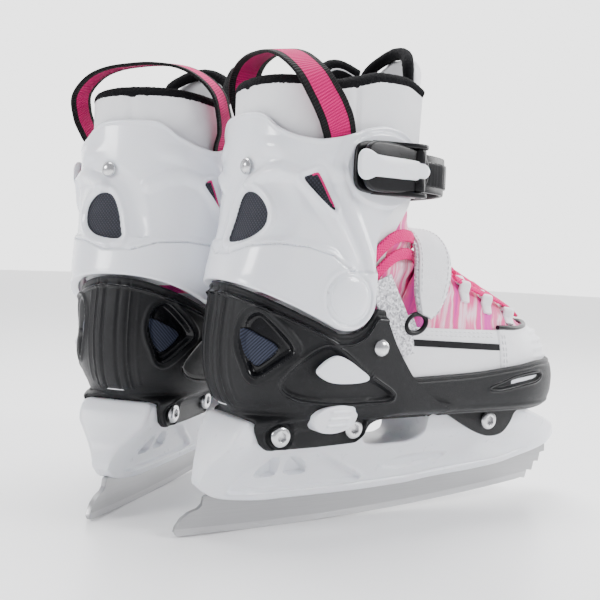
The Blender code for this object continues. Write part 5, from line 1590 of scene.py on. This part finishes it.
boot_t = np.linspace(-2.0, 2.0, 181)[:-1]
boot_rows = []
for inset in (0.4, 4.2):
    rows = []
    for share in np.linspace(0.0, 1.0, 24):
        x, y = boot_outline(boot_t, inset, share)
        top = smooth([(-50, 121), (0, 119), (22, 110), (35, 103), (60, 91), (120, 87), (165, 83)], x)
        z = 66.6 + (top - 66.6) * share
        lean = 1.0 - 0.12 * eased((z - 72.0) / 36.0) * eased((x - 5.0) / 20.0)
        rows.append(np.stack([x, y * lean, z], -1))
    boot_rows.append(np.array(rows))
floor_x, floor_y = boot_outline(boot_t, 1.6, 0.0)
boot = wall(*boot_rows, ring=True) + slab(np.column_stack([floor_x, floor_y]), 66.8, 69.0, 0.2)
piece("foot_liner", boot, LINER_WHITE, "skate", ["foot_liner"], 60)

turn = np.linspace(0.0, 2.0 * math.pi, 120, endpoint=False)
bed_x = 60.0 + 93.0 * np.sign(np.cos(turn)) * np.abs(np.cos(turn)) ** 0.86
waist = smooth([(-33, 0.80), (0, 0.84), (50, 0.86), (100, 1.0), (153, 0.9)], bed_x)
bed = np.column_stack([bed_x, 25.6 * np.sin(turn) * waist])
piece("insole", slab(bed, 69.4, 72.3, 0.9), FOOTBED, "skate", ["insole"], 60)

# %% Upper lace and its ring
lace_path = spline([(18, -37.4, 143), (23, -38.6, 149), (31, -37.4, 154.5), (40, -34.4, 156.5), (50, -28.4, 155.5),
                    (59, -15, 153), (63, 0, 152.5), (59, 15, 153), (50, 28.4, 155), (36, 36.5, 154)], 110)
lace_out = unit((lace_path - (10.0, 0.0, 140.0)) * (1.0, 1.0, 0.4))
second = lace_path + (1.0, -0.3, -9.5)
upper_lace = strap(lace_path, lace_out, 6.4, 2.0, 3.0, 16) + strap(second, lace_out, 6.0, 1.9, 3.0, 16)
piece("upper_lace", upper_lace, LACE_PINK, "cuff", None, 60)

# %% [markdown]
# ## Pull loop
# A loop of ribbed webbing is sewn inside the cuff at both sides and arches over the back of the boot. It leans back
# more at its outer leg, as a slack loop does. The black edges are part of the weave, so they belong to the finish.

# %% Pull loop
LOOP = [(-6.0, -39.6, 190), (-6.5, -40.0, 203), (-11.5, -42.4, 212), (-18, -43.0, 221), (-24, -40.0, 231),
        (-27.5, -30, 239.5), (-28.5, -18, 244), (-27.5, -4, 246), (-26, 10, 246.5), (-24, 24, 244.5),
        (-21.5, 35, 239), (-17.5, 42.0, 231), (-13, 43.6, 221), (-8, 42.6, 212), (-6.5, 40.0, 203),
        (-6.0, 39.6, 190)]
loop_path = spline(LOOP, 170)
tangent = unit(np.gradient(loop_path, axis=0))
wide = np.tile((1.0, 0.0, 0.18), (len(loop_path), 1))
loop_out = np.cross(wide, tangent)
loop_out *= np.sign(np.sum(loop_out * (loop_path - (-10.0, 0.0, 200.0)), axis=1, keepdims=True))
piece("pull_loop", strap(loop_path, loop_out, 18.6, 1.7, 8.0, 36), WEBBING_PINK, "cuff",
      ["pull_loop"], 60)

# %% [markdown]
# ## Buckle
# The buckle is laid out in its own directions: along the cuff, outwards and up. The base holds the lever's pin
# between two cheeks. The lever is a black plate with a plain white inlay that has a rounded nose and an arrow
# tail. The ladder strap has a tooth every 3 mm, cut square at the front and sloping behind.

# %% Buckle
BUCKLE_ORIGIN = (18.0, -43.9, 188.0)
BUCKLE_TURN = math.radians(4.6)
LEVER_ALONG, LEVER_OUT = 16.0, 8.4


def buckle_place(p):
    """Carry (along, out, up) points to the outer side of the cuff."""
    x = BUCKLE_ORIGIN[0] + p[:, 0] * math.cos(BUCKLE_TURN) + p[:, 1] * math.sin(BUCKLE_TURN)
    y = BUCKLE_ORIGIN[1] + p[:, 0] * math.sin(BUCKLE_TURN) - p[:, 1] * math.cos(BUCKLE_TURN)
    return np.stack([x, y, BUCKLE_ORIGIN[2] + p[:, 2]], -1)


def faced(p):
    """Place a plate that lies against the buckle: (along, across, height)."""
    return buckle_place(np.stack([p[:, 0], p[:, 2], p[:, 1]], -1))


base_outline = rounded([(-20, -7), (-17, -11.5), (-8, -13), (15, -13.2), (20, -12), (20.6, 0), (20, 12),
                        (15, 13.2), (-8, 13), (-17, 11.5), (-20, 7)], 80)
cheek = rounded([(-9, 1.5), (8, 1.2), (20, 1.4), (21.6, 5), (20.4, 10), (16.5, 11.9), (11, 11), (2, 7.6),
                 (-7, 4.4)], 60)
base_patch = slab(base_outline, 0.6, 3.2, 0.8, faced)
for low, high in ((-13.3, -10.9), (10.9, 13.3)):
    base_patch = base_patch + slab(cheek, low, high, 0.7, buckle_place)
piece("buckle_base", base_patch, BUCKLE_BLACK, "cuff", ["buckle_base"], 40)

lever_outline = rounded([(-19.5, 0), (-18, -8), (-14, -11.6), (-6, -12.2), (6, -11.6), (16, -10), (20.5, -7),
                         (22.6, 0), (20.5, 7), (16, 10), (6, 11.6), (-6, 12.2), (-14, 11.6), (-18, 8)], 110)
lever_patch = slab(lever_outline, 5.6, 9.4, 1.2, faced)
pin = turned([(0.2, -13.6), (1.5, -13.6), (1.6, -13.2), (1.6, 13.2), (1.5, 13.6), (0.2, 13.6)],
             (LEVER_ALONG, LEVER_OUT, 0.0), "Z", 24)
pin.points = buckle_place(pin.points)
for low in (-10.4, 3.6):
    knuckle = turned([(1.7, low), (3.2, low + 0.3), (3.3, low + 0.8), (3.3, low + 6.0), (3.2, low + 6.5),
                      (1.7, low + 6.8)], (LEVER_ALONG, LEVER_OUT, 0.0), "Z", 36)
    knuckle.points = buckle_place(knuckle.points)
    lever_patch = lever_patch + knuckle
piece("buckle_lever", lever_patch + pin, BUCKLE_BLACK, "lever", ["buckle_lever"], 40)
inlay_outline = rounded([(-24.5, 0), (-24, -4.5), (-21.5, -7.0), (-18.2, -7.2), (-16.2, -5.8), (-10, -5.2), (6, -5.0),
                         (15, -4.6), (20, -3.0), (22.0, 0), (20, 3.0), (15, 4.6), (6, 5.0), (-10, 5.2), (-16.2, 5.8),
                         (-18.2, 7.2), (-21.5, 7.0), (-24, 4.5)], 130)
piece("lever_inlay", dome(inlay_outline, 9.5, 10.7, 0.5, faced), HOLDER_WHITE, "lever",
      ["lever_inlay"], 40)

# %% Ladder strap
inner_ends = buckle_place(np.array([(-12.0, 4.0, 0.0), (4.0, 4.0, 0.0), (20.0, 4.2, 0.0)]))
shin = [(52.0, -42.2, 188), (62.0, -36.0, 188), (69.2, -23.0, 188), (72.0, -8.0, 188)]
ladder_route = [tuple(p) for p in inner_ends] + shin + [(x, -y, z) for x, y, z in reversed(shin)]
ladder_route += [(40.0, 44.4, 188), (22.0, 45.5, 188), (2.0, 45.4, 188)]
ladder = spline(ladder_route, 420)
tangent = unit(np.gradient(ladder, axis=0))
ladder_out = np.cross(tangent, (0.0, 0.0, 1.0))
run = np.concatenate([[0.0], np.cumsum(np.linalg.norm(np.diff(ladder, axis=0), axis=1))])
tooth = ((run % 3.0) / 3.0) ** 1.5
plain = strap(ladder, ladder_out, 19.4, 2.0, 8.0, 28)
teeth_on = (run > 8.0) & (run < 0.75 * run[-1])
rack = strap(ladder + ladder_out * 0.9, ladder_out, 12.5, 1.0 + 1.6 * tooth * teeth_on, 8.0, 20)
piece("ladder_strap", plain + rack, BUCKLE_BLACK, "cuff", ["ladder_strap"], 40)

# %% [markdown]
# ## Camera, light and floor
# A long lens stands low, behind and to the outer side of the right skate. The light is a soft tent: a
# large soft panel from above and behind the camera, a narrower one from each side to draw the long highlights on
# the glossy cuff, and a pale floor that bounces light back under the shells. The room is bright on the far side, as
# a white backdrop is, and darker behind the camera, so the black shells keep their depth.

# %% Camera
CAMERA_PLACE = (-0.4168, -0.3368, 0.1383)
YAW, PITCH, ROLL = (math.radians(a) for a in (38.40, -2.254, 2.475))
LENS_MM = 52.2
SENSOR_MM = 36.0
NEAREST = 0.01


def linked(name, data):
    """A new object of the data, in the scene."""
    made = bpy.data.objects.new(name, data)
    bpy.context.scene.collection.objects.link(made)
    return made


forward = np.array([math.cos(YAW) * math.cos(PITCH), math.sin(YAW) * math.cos(PITCH), math.sin(PITCH)])
level = np.array([math.sin(YAW), -math.cos(YAW), 0.0])
above = np.cross(level, forward)
across = level * math.cos(ROLL) + above * math.sin(ROLL)
above = above * math.cos(ROLL) - level * math.sin(ROLL)
lens = bpy.data.cameras.new("camera")
lens.lens = LENS_MM
lens.sensor_width = SENSOR_MM
lens.clip_start = NEAREST
camera = linked("camera", lens)
camera.matrix_world = Matrix(np.vstack([np.column_stack([across, above, -forward, CAMERA_PLACE]),
                                        (0.0, 0.0, 0.0, 1.0)]).tolist())
bpy.context.scene.camera = camera
print("camera looks along", forward.round(3))

# %% Light and floor


def panel_light(name, place, aim, size, watts):
    """A soft square light at a place, turned to its aim."""
    light = bpy.data.lights.new(name, "AREA")
    light.size = size
    light.energy = watts
    made = linked(name, light)
    away = unit(np.array(place) - np.array(aim))
    side = unit(np.cross((0.0, 0.0, 1.0), away))
    turn = np.column_stack([side, np.cross(away, side), away, place])
    made.matrix_world = Matrix(np.vstack([turn, (0.0, 0.0, 0.0, 1.0)]).tolist())


AIM = (0.0, 0.0, 0.13)
panel_light("overhead", (0.10, 0.15, 1.20), AIM, 0.7, 19.0)
panel_light("key", (0.45, -1.15, 0.80), AIM, 0.4, 16.0)
panel_light("left_edge", (-1.05, 0.45, 0.50), AIM, 0.3, 7.0)
panel_light("right_edge", (0.95, -0.55, 0.45), AIM, 0.4, 4.0)

BACKDROP_STRENGTH = 3.0
TO_BACKDROP = (0.78, 0.62, 0.0)
world = bpy.data.worlds.new("studio")
bpy.context.scene.world = world
world.use_nodes = True
sky = Signal(world.node_tree)
direction = sky.add("ShaderNodeTexCoord", output="Generated")
towards = direction.add("ShaderNodeVectorMath", {"operation": "DOT_PRODUCT"}, {0: direction, 1: TO_BACKDROP},
                        "Value")
backdrop = towards.step(0.1, 0.75).mix((0.20, 0.20, 0.21), (1.0, 1.0, 1.0))
background = world.node_tree.nodes["Background"]
world.node_tree.links.new(backdrop.socket, background.inputs["Color"])
background.inputs["Strength"].default_value = BACKDROP_STRENGTH

FLOOR_HALF = 6.0
floor_mesh = bpy.data.meshes.new("floor")
corners = [(-FLOOR_HALF, -FLOOR_HALF, 0.0), (FLOOR_HALF, -FLOOR_HALF, 0.0), (FLOOR_HALF, FLOOR_HALF, 0.0),
           (-FLOOR_HALF, FLOOR_HALF, 0.0)]
floor_mesh.from_pydata(corners, [], [(0, 1, 2, 3)])
floor = linked("floor", floor_mesh)
floor_mesh.materials.append(finish("pale_floor", lambda s: {"colour": (0.93, 0.93, 0.935)}, 0.28))
